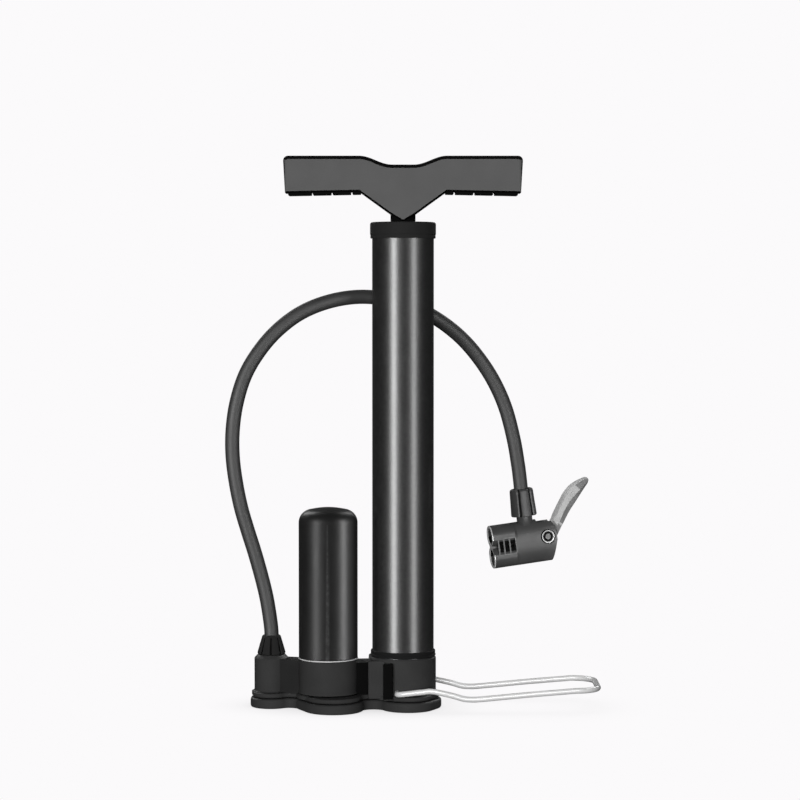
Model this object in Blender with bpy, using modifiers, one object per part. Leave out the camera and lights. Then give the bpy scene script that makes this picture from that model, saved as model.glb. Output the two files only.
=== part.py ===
"""Floor pump for tyres: T-handle, steel barrel, air reservoir, hose with a twin-mouth lever head,
and a folding wire stirrup that the foot holds down.

World frame in metres.  The origin is on the barrel axis at floor level, +Z is up, +X points along
the unfolded stirrup and +Y to the back.  Every size below is in millimetres times MM.
"""

import math

import bmesh
import bpy
from mathutils import Matrix, Vector

MM = 0.001

# ---------------------------------------------------------------- clearances
SEAT_GAP = 0.3 * MM              # between pieces that rest on each other
SLIDE_GAP = 0.3 * MM             # on the radius, between pieces that slide or turn

# ---------------------------------------------------------------- barrel and cap
BARREL_RADIUS = 19.0 * MM
BARREL_WALL = 1.4 * MM
BARREL_LENGTH = 271.4 * MM
CAP_SKIRT = 1.0 * MM             # wall of the cap around the barrel
CAP_HEIGHT = 10.0 * MM
CAP_ROOF = 2.0 * MM
BUSH_SLEEVE_RADIUS = 6.0 * MM
BUSH_FLANGE_RADIUS = 9.0 * MM
BUSH_FLANGE = 2.5 * MM

# ---------------------------------------------------------------- reservoir
TANK_AXIS = (-46.2 * MM, -4.0 * MM)
TANK_RADIUS = 18.2 * MM
TANK_WALL = 1.2 * MM
TANK_HEIGHT = 92.8 * MM          # from the shoulder on the ring to the top
TANK_SHOULDER = 8.3 * MM         # radius of the rounded top edge
TANK_CROWN = 1.2 * MM            # how far the top is domed
TANK_NECK_STEP = 3.2 * MM        # how much narrower the neck is than the shell
TANK_RING_HEIGHT = 0.6 * MM
TANK_RING_LIP = 0.3 * MM

# ---------------------------------------------------------------- base
OUTLET_AXIS = (-81.85 * MM, 6.79 * MM)
SOLE_THICKNESS = 6.0 * MM
SOLE_OUTLET_MARGIN = 2.2 * MM    # from the outlet tower to the sole's edge
SOLE_OUTLET_NOSE = 4.3 * MM      # how far that lobe is drawn out, front and back
SOLE_TANK_MARGIN = 1.7 * MM
SOLE_TANK_NOSE = (3.5 * MM, 10.7 * MM)          # the tank lobe's nose, from the tank's axis
SOLE_TANK_NOSE_ROUND = 0.3 * MM  # nose radius beyond the tank tower's
SOLE_BARREL_NOSE = (3.0 * MM, 8.0 * MM)
SOLE_BARREL_NOSE_ROUND = -3.2 * MM
SOLE_BARREL_END = 2.6 * MM       # the sole's round right end, from the barrel's axis
SOLE_BARREL_MARGIN = 0.8 * MM
SOLE_WAIST_BARREL = 6.0 * MM     # least radius of the hollow between the barrel and tank lobes
SOLE_WAIST_OUTLET = 5.0 * MM
SOLE_WAIST_REAR = 8.0 * MM       # behind, between the tank lobe's nose and the outlet lobe
FLANGE_INSET = 1.5 * MM
FLANGE_THICKNESS = 3.0 * MM
TOWER_WALL = 1.1 * MM
BARREL_TOWER_TOP = 32.0 * MM
TANK_TOWER_TOP = 30.5 * MM
OUTLET_TOWER_TOP = 32.0 * MM
OUTLET_TOWER_RADIUS = 10.6 * MM
TOWER_CHAMFER = 1.0 * MM         # height of the barrel tower's chamfer
TOWER_CHAMFER_REACH = 0.6 * MM
TANK_TOWER_CHAMFER = 0.4 * MM
SOLE_EDGE = 1.2 * MM
FLANGE_EDGE = 0.6 * MM
BLOCK_EDGE = 0.8 * MM            # rounding of the cheeks and ribs
CHEEK_BELOW_TOP = 1.2 * MM
RIB_BELOW_TOP = 2.0 * MM
OUTLET_CHAMFER = 2.1 * MM
BARREL_SOCKET_FLOOR = 24.0 * MM
TANK_SOCKET_FLOOR = 18.0 * MM
OUTLET_SOCKET_FLOOR = 20.0 * MM
OUTLET_SOCKET_RADIUS = 4.8 * MM
SEAL_THICKNESS = 1.7 * MM
SEAL_WIDTH = 2.4 * MM
COLLAR_WALL = 0.7 * MM
COLLAR_HEIGHT = 3.7 * MM
WEB_WIDTH = 14.0 * MM
WEB_BARREL_TOP = 29.5 * MM
WEB_OUTLET_TOP = 29.8 * MM
CHEEK_REACH = 17.0 * MM          # flat faces of the block between the tank and the barrel
CHEEK_LEFT = 21.4 * MM
CHEEK_RIGHT = 11.3 * MM
RIB_REACH = 3.5 * MM             # how far the stirrup's ribs stand out of the barrel tower
RIB_THICKNESS = 6.0 * MM
RIB_SIDE_GAP = 0.9 * MM          # from the rib to the wire beside it

# ---------------------------------------------------------------- air way and check valve
CHANNEL_FLOOR = 8.0 * MM
CHANNEL_ROOF = 13.0 * MM
CHANNEL_WIDTH = 5.0 * MM
COVER_THICKNESS = 1.4 * MM
COVER_WIDTH = 10.4 * MM
VALVE_BORE = 4.2 * MM
VALVE_SEAT = 17.0 * MM
VALVE_PORT = 1.6 * MM
BALL_RADIUS = 3.0 * MM
SPRING_WIRE = 0.25 * MM
SPRING_RADIUS = 2.35 * MM
SPRING_TURNS = 3
TANK_PORT = 2.0 * MM
OUTLET_PORT = 2.0 * MM

# ---------------------------------------------------------------- sole screws
SCREW_PLACES = (
    ("sole_screw_barrel_front", 12.0 * MM, -12.0 * MM),
    ("sole_screw_barrel_rear", 12.0 * MM, 12.0 * MM),
    ("sole_screw_tank_front", TANK_AXIS[0], TANK_AXIS[1] - 13.0 * MM),
    ("sole_screw_tank_rear", TANK_AXIS[0], TANK_AXIS[1] + 13.0 * MM),
)
SCREW_RADIUS = 1.5 * MM
SCREW_HEAD_RADIUS = 3.0 * MM
SCREW_HEAD = 2.0 * MM
SCREW_RECESS = 1.0 * MM          # head below the sole's underside
SCREW_LENGTH = 10.7 * MM

# ---------------------------------------------------------------- piston and rod
ROD_RADIUS = 4.0 * MM
THREAD_RADIUS = 3.0 * MM
ROD_BOTTOM = 30.5 * MM
PISTON_NUT = (31.7 * MM, 35.7 * MM)
PISTON_NUT_RADIUS = 5.6 * MM
PISTON_WASHER = 1.2 * MM
PISTON_WASHER_RADIUS = 11.0 * MM
CUP_WEB = 1.5 * MM
CUP_SKIRT = 4.7 * MM
CUP_WALL = 1.5 * MM
CORE_HEIGHT = 7.7 * MM
CORE_GAP = 0.8 * MM
BUMPER_RADIUS = 12.0 * MM
BUMPER_HEIGHT = 3.0 * MM

# ---------------------------------------------------------------- handle
HANDLE_DEPTH = 24.0 * MM
HANDLE_HALF_TOP = 73.3 * MM
HANDLE_HALF_BOTTOM = 72.2 * MM
HANDLE_RISE = 0.5 * MM           # the V's tip above the cap
HANDLE_HEIGHT = 39.8 * MM        # from the V's tip to the top of the wings
HANDLE_DIP = 5.4 * MM
HANDLE_DIP_HALF = 6.6 * MM
HANDLE_DIP_EDGE = 27.0 * MM
HANDLE_WING = 22.6 * MM          # thickness of a wing at its end
HANDLE_V_EDGE = 26.8 * MM
HANDLE_V_EDGE_RISE = 0.9 * MM
HANDLE_V_KNEE = 7.7 * MM
HANDLE_V_KNEE_RISE = 4.3 * MM
HANDLE_CORNER = 3.0 * MM
HANDLE_EDGE = 2.0 * MM
HANDLE_NECK_RADIUS = 7.7 * MM
HANDLE_NECK_HEIGHT = 13.0 * MM
COVER_INNER = 25.9 * MM
COVER_OUTER = 70.3 * MM
COVER_PROUD = 1.6 * MM
COVER_DEPTH = 18.0 * MM
COVER_SEAT = 3.0 * MM
COVER_NOTCHES = (31.5 * MM, 43.6 * MM, 55.7 * MM)
COVER_NOTCH = 1.0 * MM
HANDLE_POCKET_ROOF = 5.5 * MM
HANDLE_NUT = 5.0 * MM
HANDLE_NUT_RADIUS = 5.4 * MM
HANDLE_NUT_BELOW_DIP = 9.4 * MM
THREAD_BELOW_NUT = 6.0 * MM       # from the rod's shoulder to the nut
THREAD_ABOVE_NUT = 1.5 * MM
PLUG_RADIUS = 5.7 * MM

# ---------------------------------------------------------------- stirrup
WIRE_RADIUS = 1.75 * MM
STIRRUP_PIVOT = (-3.5 * MM, 11.4 * MM)
STIRRUP_SIDE_GAP = 0.35 * MM
STIRRUP_PEAK = (18.0 * MM, 13.5 * MM)
STIRRUP_DIP = (42.0 * MM, 8.6 * MM)
STIRRUP_END = (120.0 * MM, 14.0 * MM)
STIRRUP_CORNER = 14.0 * MM
STIRRUP_HOOK = 3.0 * MM          # bend radius where the wire turns into the base
STIRRUP_HOLE_DEPTH = 7.0 * MM

# ---------------------------------------------------------------- hose
HOSE_RADIUS = 4.45 * MM
HOSE_START = 36.0 * MM
HOSE_YAW = math.radians(12.7)    # the hose's upright plane, turned about the outlet axis
HOSE_ROUTE = (                   # along the plane and up, millimetres
    (0, 36), (0, 46), (-1.3, 57), (-3.4, 69), (-6.6, 82), (-10.4, 95.5), (-14.8, 109.5),
    (-19.0, 124), (-22.2, 140), (-24.1, 156), (-24.0, 172), (-21.6, 188.5), (-16.4, 205),
    (-8.1, 219.3), (3.5, 232.7), (18.4, 243.8), (35.9, 250.9), (54.9, 254.0), (73.9, 252.6),
    (90.9, 247.6), (106, 240), (120.6, 229), (132.7, 215.7), (142.8, 200.5), (150.5, 183.5),
    (155.8, 164), (158.6, 148.5), (159.83, 139.7), (161.13, 128.1))
HOSE_POINTS = 58
BASE_NUT_WALLS = (4.35 * MM, 1.55 * MM)         # around the hose, at the bottom and the top
BASE_NUT_HEIGHT = 11.7 * MM
HEAD_NUT_WALLS = (3.85 * MM, 3.05 * MM)
HEAD_NUT_HEIGHT = 17.3 * MM
NUT_GROOVE = 0.9 * MM
FITTING_BORE = 1.8 * MM

# ---------------------------------------------------------------- twin head
VALLEY_DEPTH = 3.0 * MM          # half thickness left between the head's two tubes
HEAD_BACK_FOOT = 14.5 * MM       # the back end's outline, along the head and up
HEAD_BACK_SHOULDER = (17.8 * MM, 8.0 * MM)
HEAD_BACK_TOP = 14.8 * MM
LEVER_ROOM = (6.5 * MM, -8.0 * MM)              # front end and floor of the lever's slot
SPIGOT_FOOT = 1.7 * MM
AIR_PORT = 1.5 * MM
NIPPLE_TOP = 29.7 * MM
YOKE_HALF = 3.3 * MM
YOKE_REACH = 3.15 * MM           # of the yoke's plate beyond the tubes' axes
YOKE_HOLE = 2.0 * MM
HEAD_ALONG = 164.87 * MM          # the head's centre, along the hose's plane
HEAD_HEIGHT = 98.3 * MM
HEAD_TILT = math.radians(7.0)
TUBE_RADIUS = 6.85 * MM          # the two valve tubes, one above the other
TUBE_WALL = 1.45 * MM
HEAD_FRONT = 24.0 * MM
HEAD_BACK = 18.5 * MM
SPIGOT_RADIUS = 5.0 * MM
SPIGOT_TOP = 16.7 * MM
SPIGOT_BORE = 3.3 * MM
MOUTH_SEAL = (-19.3 * MM, -11.2 * MM)
MOUTH_SEAL_WALLS = (1.2 * MM, 2.0 * MM)         # upper mouth and lower mouth
CHAMBER = (-11.0 * MM, -5.0 * MM)
YOKE_PLATE = (-9.6 * MM, -7.1 * MM)
YOKE_ROD_RADIUS = 2.7 * MM
YOKE_ROD_END = 7.7 * MM
LEVER_PIVOT = (12.3 * MM, 2.4 * MM)
LEVER_ROOT_HALF = 3.9 * MM
LEVER_BLADE_HALF = 6.0 * MM
LEVER_ROOT_REACH = 12.2 * MM
CAM_RADIUS = 3.6 * MM
CAM_OFFSET = 0.9 * MM
CAM_ANGLE = math.radians(140.0)
PIN_RADIUS = 1.75 * MM
PIN_HEAD_RADIUS = 4.5 * MM
PIN_HEAD = 1.2 * MM
PIN_PROUD = 0.3 * MM
SLOT_WIDTHS = ((-25.0, -20.8), (-19.9, -17.3), (-16.4, -13.6), (-12.7, -9.3))

# ---------------------------------------------------------------- derived sizes
MOUTH_RADIUS = TUBE_RADIUS - TUBE_WALL
BARREL_BORE = BARREL_RADIUS - BARREL_WALL
BARREL_TOWER_RADIUS = BARREL_RADIUS + SLIDE_GAP + TOWER_WALL
TANK_TOWER_RADIUS = TANK_RADIUS + 0.1 * MM
TANK_NECK_RADIUS = TANK_RADIUS - TANK_NECK_STEP
TANK_SOCKET_RADIUS = TANK_NECK_RADIUS + 2 * SLIDE_GAP
HOUSING_BOTTOM = SOLE_THICKNESS + SEAT_GAP
HOUSING_TOP_OF_FLANGE = HOUSING_BOTTOM + FLANGE_THICKNESS
BARREL_BOTTOM = BARREL_SOCKET_FLOOR + SEAT_GAP + SEAL_THICKNESS + SEAT_GAP
BARREL_TOP = BARREL_BOTTOM + BARREL_LENGTH
CAP_TOP = BARREL_TOP + SEAT_GAP + CAP_ROOF
CAP_RADIUS = BARREL_RADIUS + SLIDE_GAP + CAP_SKIRT
TANK_NECK_BOTTOM = TANK_SOCKET_FLOOR + SEAT_GAP + SEAL_THICKNESS + SEAT_GAP
TANK_RING_BOTTOM = TANK_TOWER_TOP + SEAT_GAP
TANK_SHELL_BOTTOM = TANK_RING_BOTTOM + TANK_RING_HEIGHT + SEAT_GAP
TANK_TOP = TANK_SHELL_BOTTOM + TANK_HEIGHT
CUP_RADIUS = BARREL_BORE - SLIDE_GAP
WASHER_BOTTOM = PISTON_NUT[1] + SEAT_GAP
CUP_WEB_BOTTOM = WASHER_BOTTOM + PISTON_WASHER + SEAT_GAP
CUP_TOP = CUP_WEB_BOTTOM + CUP_WEB
CORE_BOTTOM = CUP_TOP + SEAT_GAP
CORE_TOP = CORE_BOTTOM + CORE_HEIGHT
ROD_SHOULDER = CORE_TOP + SEAT_GAP
HANDLE_TIP = CAP_TOP + HANDLE_RISE
HANDLE_TOP = HANDLE_TIP + HANDLE_HEIGHT
HANDLE_DIP_TOP = HANDLE_TOP - HANDLE_DIP
HANDLE_WING_BOTTOM = HANDLE_TOP - HANDLE_WING
HANDLE_NUT_BOTTOM = HANDLE_DIP_TOP - HANDLE_NUT_BELOW_DIP
ROD_TOP_SHOULDER = HANDLE_NUT_BOTTOM - SEAT_GAP - THREAD_BELOW_NUT
RIB_FRONT = BARREL_TOWER_RADIUS + RIB_REACH
STIRRUP_HALF = RIB_FRONT + STIRRUP_SIDE_GAP + WIRE_RADIUS
WIRE_HOLE_RADIUS = WIRE_RADIUS + SLIDE_GAP
BALL_CENTRE = VALVE_SEAT - math.sqrt((BALL_RADIUS + SEAT_GAP) ** 2 - VALVE_PORT ** 2)

ROUND = 40                       # facets of the large turned pieces
MEDIUM = 24
SMALL = 16

PUMP = bpy.data.collections.new("floor_pump")
CUTTERS = bpy.data.collections.new("floor_pump_cutters")


# ---------------------------------------------------------------- helpers
def clear_scene():
    for item in list(bpy.data.objects):
        bpy.data.objects.remove(item, do_unlink=True)
    bpy.context.scene.collection.children.link(PUMP)
    bpy.context.scene.collection.children.link(CUTTERS)


def finish_material(name, colour, roughness, metallic=0.0):
    made = bpy.data.materials.new(name)
    made.use_nodes = True
    shader = made.node_tree.nodes["Principled BSDF"]
    shader.inputs["Base Color"].default_value = (*colour, 1.0)
    shader.inputs["Roughness"].default_value = roughness
    shader.inputs["Metallic"].default_value = metallic
    return made


def smooth(mesh):
    mesh.shade_smooth()
    mesh.set_sharp_from_angle(angle=math.radians(35))


def add_object(name, data, frame=None, material=None):
    made = bpy.data.objects.new(name, data)
    made.matrix_world = frame if frame is not None else Matrix.Identity(4)
    PUMP.objects.link(made)
    if material is not None:
        data.materials.append(material)
    return made


def shift(x, y, z):
    return Matrix.Translation((x, y, z))


def columns(origin, x_axis, y_axis, z_axis):
    """A frame whose local axes are the three given directions."""
    turn = Matrix((x_axis, y_axis, z_axis)).transposed().to_4x4()
    return Matrix.Translation(origin) @ turn


def turned(name, profile, frame=None, material=None, steps=ROUND, ring=False):
    """A turned piece: its profile (radius, height) runs down the outer side; a ring's closes."""
    mesh = bpy.data.meshes.new(name)
    points = [(radius, 0.0, height) for radius, height in profile]
    edges = [(i, i + 1) for i in range(len(points) - 1)]
    if ring:
        edges.append((len(points) - 1, 0))
    mesh.from_pydata(points, edges, [])
    made = add_object(name, mesh, frame, material)
    screw = made.modifiers.new("turn", "SCREW")
    screw.axis = "Z"
    screw.angle = 2 * math.pi
    screw.steps = steps
    screw.render_steps = steps
    screw.use_merge_vertices = True
    screw.merge_threshold = 0.000001
    screw.use_smooth_shade = True
    return made


def disc(name, radius, low, high, frame=None, material=None, steps=MEDIUM):
    return turned(name, [(0, high), (radius, high), (radius, low), (0, low)], frame, material, steps)


def tube_ring(name, outer, inner, low, high, frame=None, material=None, steps=ROUND):
    profile = [(outer, high), (outer, low), (inner, low), (inner, high)]
    return turned(name, profile, frame, material, steps, ring=True)


def box(name, low, high, frame=None, material=None):
    mesh = bpy.data.meshes.new(name)
    shape = bmesh.new()
    size = [high[i] - low[i] for i in range(3)]
    centre = [(high[i] + low[i]) / 2 for i in range(3)]
    place = Matrix.Translation(centre) @ Matrix.Diagonal((*size, 1.0))
    bmesh.ops.create_cube(shape, size=1.0, matrix=place)
    shape.to_mesh(mesh)
    shape.free()
    return add_object(name, mesh, frame, material)


def curve_to_mesh(curve_object, name, material=None):
    """The curve's closed surface as a mesh object in the same place."""
    depsgraph = bpy.context.evaluated_depsgraph_get()
    mesh = bpy.data.meshes.new_from_object(curve_object.evaluated_get(depsgraph))
    shape = bmesh.new()
    shape.from_mesh(mesh)
    bmesh.ops.remove_doubles(shape, verts=shape.verts, dist=0.000001)
    bmesh.ops.dissolve_limit(shape, angle_limit=math.radians(0.5), verts=shape.verts,
                             edges=shape.edges)
    bmesh.ops.recalc_face_normals(shape, faces=shape.faces)
    shape.to_mesh(mesh)
    shape.free()
    frame = curve_object.matrix_world.copy()
    bpy.data.objects.remove(curve_object)
    mesh.materials.clear()
    return add_object(name, mesh, frame, material)


def plate(name, outlines, low, high, frame=None, material=None):
    """A flat outline in local XY, or several apart, extruded from low to high along local Z."""
    curve = bpy.data.curves.new(name + "_outline", "CURVE")
    curve.dimensions = "2D"
    curve.fill_mode = "BOTH"
    curve.extrude = (high - low) / 2
    for outline in outlines:
        spline = curve.splines.new("POLY")
        spline.points.add(len(outline) - 1)
        for point, (x, y) in zip(spline.points, outline):
            point.co = (x, y, 0.0, 1.0)
        spline.use_cyclic_u = True
    base = frame if frame is not None else Matrix.Identity(4)
    guide = add_object(name + "_outline", curve, base @ shift(0, 0, (low + high) / 2))
    bpy.context.view_layer.update()
    return curve_to_mesh(guide, name, material)


def rod_along(name, points, radius, frame=None, material=None, resolution=2):
    """A round wire or hose through the given points."""
    curve = bpy.data.curves.new(name, "CURVE")
    curve.dimensions = "3D"
    curve.bevel_depth = radius
    curve.bevel_resolution = resolution
    curve.use_fill_caps = True
    spline = curve.splines.new("POLY")
    spline.points.add(len(points) - 1)
    for point, place in zip(spline.points, points):
        point.co = (*place, 1.0)
    return add_object(name, curve, frame, material)


def round_edges(piece, width, segments=2, angle=40.0):
    bevel = piece.modifiers.new("round_edges", "BEVEL")
    bevel.width = width
    bevel.segments = segments
    bevel.limit_method = "ANGLE"
    bevel.angle_limit = math.radians(angle)
    return piece


def boolean(piece, tool, operation):
    modifier = piece.modifiers.new(tool.name, "BOOLEAN")
    modifier.operation = operation
    modifier.object = tool
    modifier.solver = "EXACT"
    PUMP.objects.unlink(tool)
    CUTTERS.objects.link(tool)
    tool.hide_render = True
    tool.display_type = "WIRE"


def cut(piece, *tools):
    for tool in tools:
        boolean(piece, tool, "DIFFERENCE")


def cut_together(piece, tools):
    """Cut with several tools in one step, so that no cut leaves slivers for the next."""
    group = bpy.data.collections.new(piece.name + "_cuts")
    CUTTERS.children.link(group)
    for tool in tools:
        PUMP.objects.unlink(tool)
        group.objects.link(tool)
        tool.hide_render = True
        tool.display_type = "WIRE"
    modifier = piece.modifiers.new(group.name, "BOOLEAN")
    modifier.operation = "DIFFERENCE"
    modifier.operand_type = "COLLECTION"
    modifier.collection = group
    modifier.solver = "EXACT"


def add(piece, *tools):
    for tool in tools:
        boolean(piece, tool, "UNION")


def arc(centre, radius, start, end, steps):
    """Points on an arc from one angle to the other, in radians."""
    turns = [start + (end - start) * i / steps for i in range(steps + 1)]
    return [(centre[0] + radius * math.cos(t), centre[1] + radius * math.sin(t)) for t in turns]


def smooth_route(points, count):
    """Evenly spaced points on the Catmull-Rom curve through the given points."""
    ends = [points[0] * 2 - points[1], *points, points[-1] * 2 - points[-2]]
    fine = []
    for i in range(len(points) - 1):
        a, b, c, d = ends[i:i + 4]
        for step in range(16):
            t = step / 16
            fine.append(0.5 * (2 * b + (c - a) * t + (2 * a - 5 * b + 4 * c - d) * t ** 2
                               + (3 * b - a - 3 * c + d) * t ** 3))
    fine.append(points[-1])
    reach = [0.0]
    for before, after in zip(fine, fine[1:]):
        reach.append(reach[-1] + (after - before).length)
    even = []
    seek = 0
    for i in range(count):
        goal = reach[-1] * i / (count - 1)
        while seek < len(fine) - 2 and reach[seek + 1] < goal:
            seek += 1
        share = (goal - reach[seek]) / (reach[seek + 1] - reach[seek])
        even.append(fine[seek].lerp(fine[seek + 1], share))
    return even


# ---------------------------------------------------------------- outlines of the base
def joined_outline(discs, waists, inset, steps):
    """Outline around a chain of discs, counterclockwise. Neighbours are joined by a straight
    tangent where the waist is None, or else by a hollow of at least the waist's radius."""
    ends = []
    hollows = []
    for (centre, radius), (after, after_radius), waist in zip(discs, discs[1:] + discs[:1], waists):
        line = Vector(after) - Vector(centre)
        ahead = line.normalized()
        outward = Vector((ahead.y, -ahead.x))
        near = radius - inset
        far = after_radius - inset
        if waist is None:
            lean = (near - far) / line.length
            normal = outward * math.sqrt(1 - lean ** 2) + ahead * lean
            ends.append((math.atan2(normal.y, normal.x),) * 2)
            hollows.append(None)
            continue
        gap = line.length - radius - after_radius
        hollow = max(waist, gap / 2 + MM) + inset
        along = (line.length_squared + (near + hollow) ** 2 - (far + hollow) ** 2) / (2 * line.length)
        across = math.sqrt((near + hollow) ** 2 - along ** 2)
        middle = Vector(centre) + ahead * along + outward * across
        leave = middle - Vector(centre)
        meet = middle - Vector(after)
        ends.append((math.atan2(leave.y, leave.x), math.atan2(meet.y, meet.x)))
        hollows.append((middle, hollow))
    points = []
    for i, (centre, radius) in enumerate(discs):
        start = ends[i - 1][1]
        stop = ends[i][0]
        while stop < start:
            stop += 2 * math.pi
        count = max(2, round(steps * (stop - start) / (2 * math.pi)))
        points += arc(centre, radius - inset, start, stop, count)
        if hollows[i]:
            middle, hollow = hollows[i]
            start = ends[i][0] + math.pi
            stop = ends[i][1] + math.pi
            while stop > start:
                stop -= 2 * math.pi
            points += arc(middle, hollow, start, stop, 5)[1:-1]
    return points


def sole_outline(inset=0.0):
    """Three lobes joined by hollow waists, counterclockwise, drawn in by the inset."""
    tank = TANK_AXIS
    tank_nose = TANK_TOWER_RADIUS + SOLE_TANK_NOSE_ROUND
    barrel_nose = BARREL_TOWER_RADIUS + SOLE_BARREL_NOSE_ROUND
    outlet = OUTLET_TOWER_RADIUS + SOLE_OUTLET_MARGIN
    discs = [(OUTLET_AXIS, outlet),
             ((OUTLET_AXIS[0], OUTLET_AXIS[1] - SOLE_OUTLET_NOSE), outlet),
             (tank, TANK_TOWER_RADIUS + SOLE_TANK_MARGIN),
             ((tank[0] + SOLE_TANK_NOSE[0], tank[1] - SOLE_TANK_NOSE[1]), tank_nose),
             ((SOLE_BARREL_NOSE[0], -SOLE_BARREL_NOSE[1]), barrel_nose),
             ((SOLE_BARREL_END, 0.0), BARREL_TOWER_RADIUS + SOLE_BARREL_MARGIN),
             ((SOLE_BARREL_NOSE[0], SOLE_BARREL_NOSE[1]), barrel_nose),
             ((tank[0] + SOLE_TANK_NOSE[0], tank[1] + SOLE_TANK_NOSE[1]), tank_nose)]
    waists = [None, SOLE_WAIST_OUTLET, None, SOLE_WAIST_BARREL, None, None, SOLE_WAIST_BARREL,
              SOLE_WAIST_REAR]
    return joined_outline(discs, waists, inset, 44)


def ribbon_outline(half):
    """Outline of a strip along the air way, with round ends."""
    path = [Vector((0.0, 0.0)), Vector(TANK_AXIS), Vector(OUTLET_AXIS)]
    first = (path[1] - path[0]).normalized()
    second = (path[2] - path[1]).normalized()
    mitre = (first + second).normalized()
    reach = half / mitre.dot(first)
    bend = Vector((-mitre.y, mitre.x)) * reach
    start = math.atan2(first.y, first.x)
    end = math.atan2(second.y, second.x)
    left = arc(path[0], half, start - math.pi / 2, start - 3 * math.pi / 2, 8)
    far = arc(path[2], half, end + math.pi / 2, end - math.pi / 2, 8)
    return left + [tuple(path[1] + bend)] + far + [tuple(path[1] - bend)]


# ---------------------------------------------------------------- base
def make_sole(material):
    sole = plate("base_sole", [sole_outline()], 0.0, SOLE_THICKNESS, None, material)
    round_edges(sole, SOLE_EDGE, 1)
    for name, x, y in SCREW_PLACES:
        head_room = disc(name + "_counterbore", SCREW_HEAD_RADIUS + 2 * SLIDE_GAP, -MM,
                         SCREW_RECESS + SCREW_HEAD + SEAT_GAP, shift(x, y, 0), steps=SMALL)
        shank_room = disc(name + "_hole", SCREW_RADIUS + SLIDE_GAP, -MM,
                          SOLE_THICKNESS + MM, shift(x, y, 0), steps=SMALL)
        cut(sole, head_room, shank_room)
    return sole


def tower(name, axis, radius, top, chamfer_radius, chamfer_height):
    """A round tower of the housing, from inside the flange to its chamfered top."""
    low = HOUSING_BOTTOM + MM
    profile = [(0, top), (radius - chamfer_radius, top), (radius, top - chamfer_height),
               (radius, low), (0, low)]
    return turned(name, profile, shift(axis[0], axis[1], 0))


def web(name, start, end, half, top):
    """A wall between two towers."""
    line = Vector(end) - Vector(start)
    frame = shift(start[0], start[1], 0) @ Matrix.Rotation(math.atan2(line.y, line.x), 4, "Z")
    return box(name, (0, -half, HOUSING_BOTTOM + MM), (line.length, half, top), frame)


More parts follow.
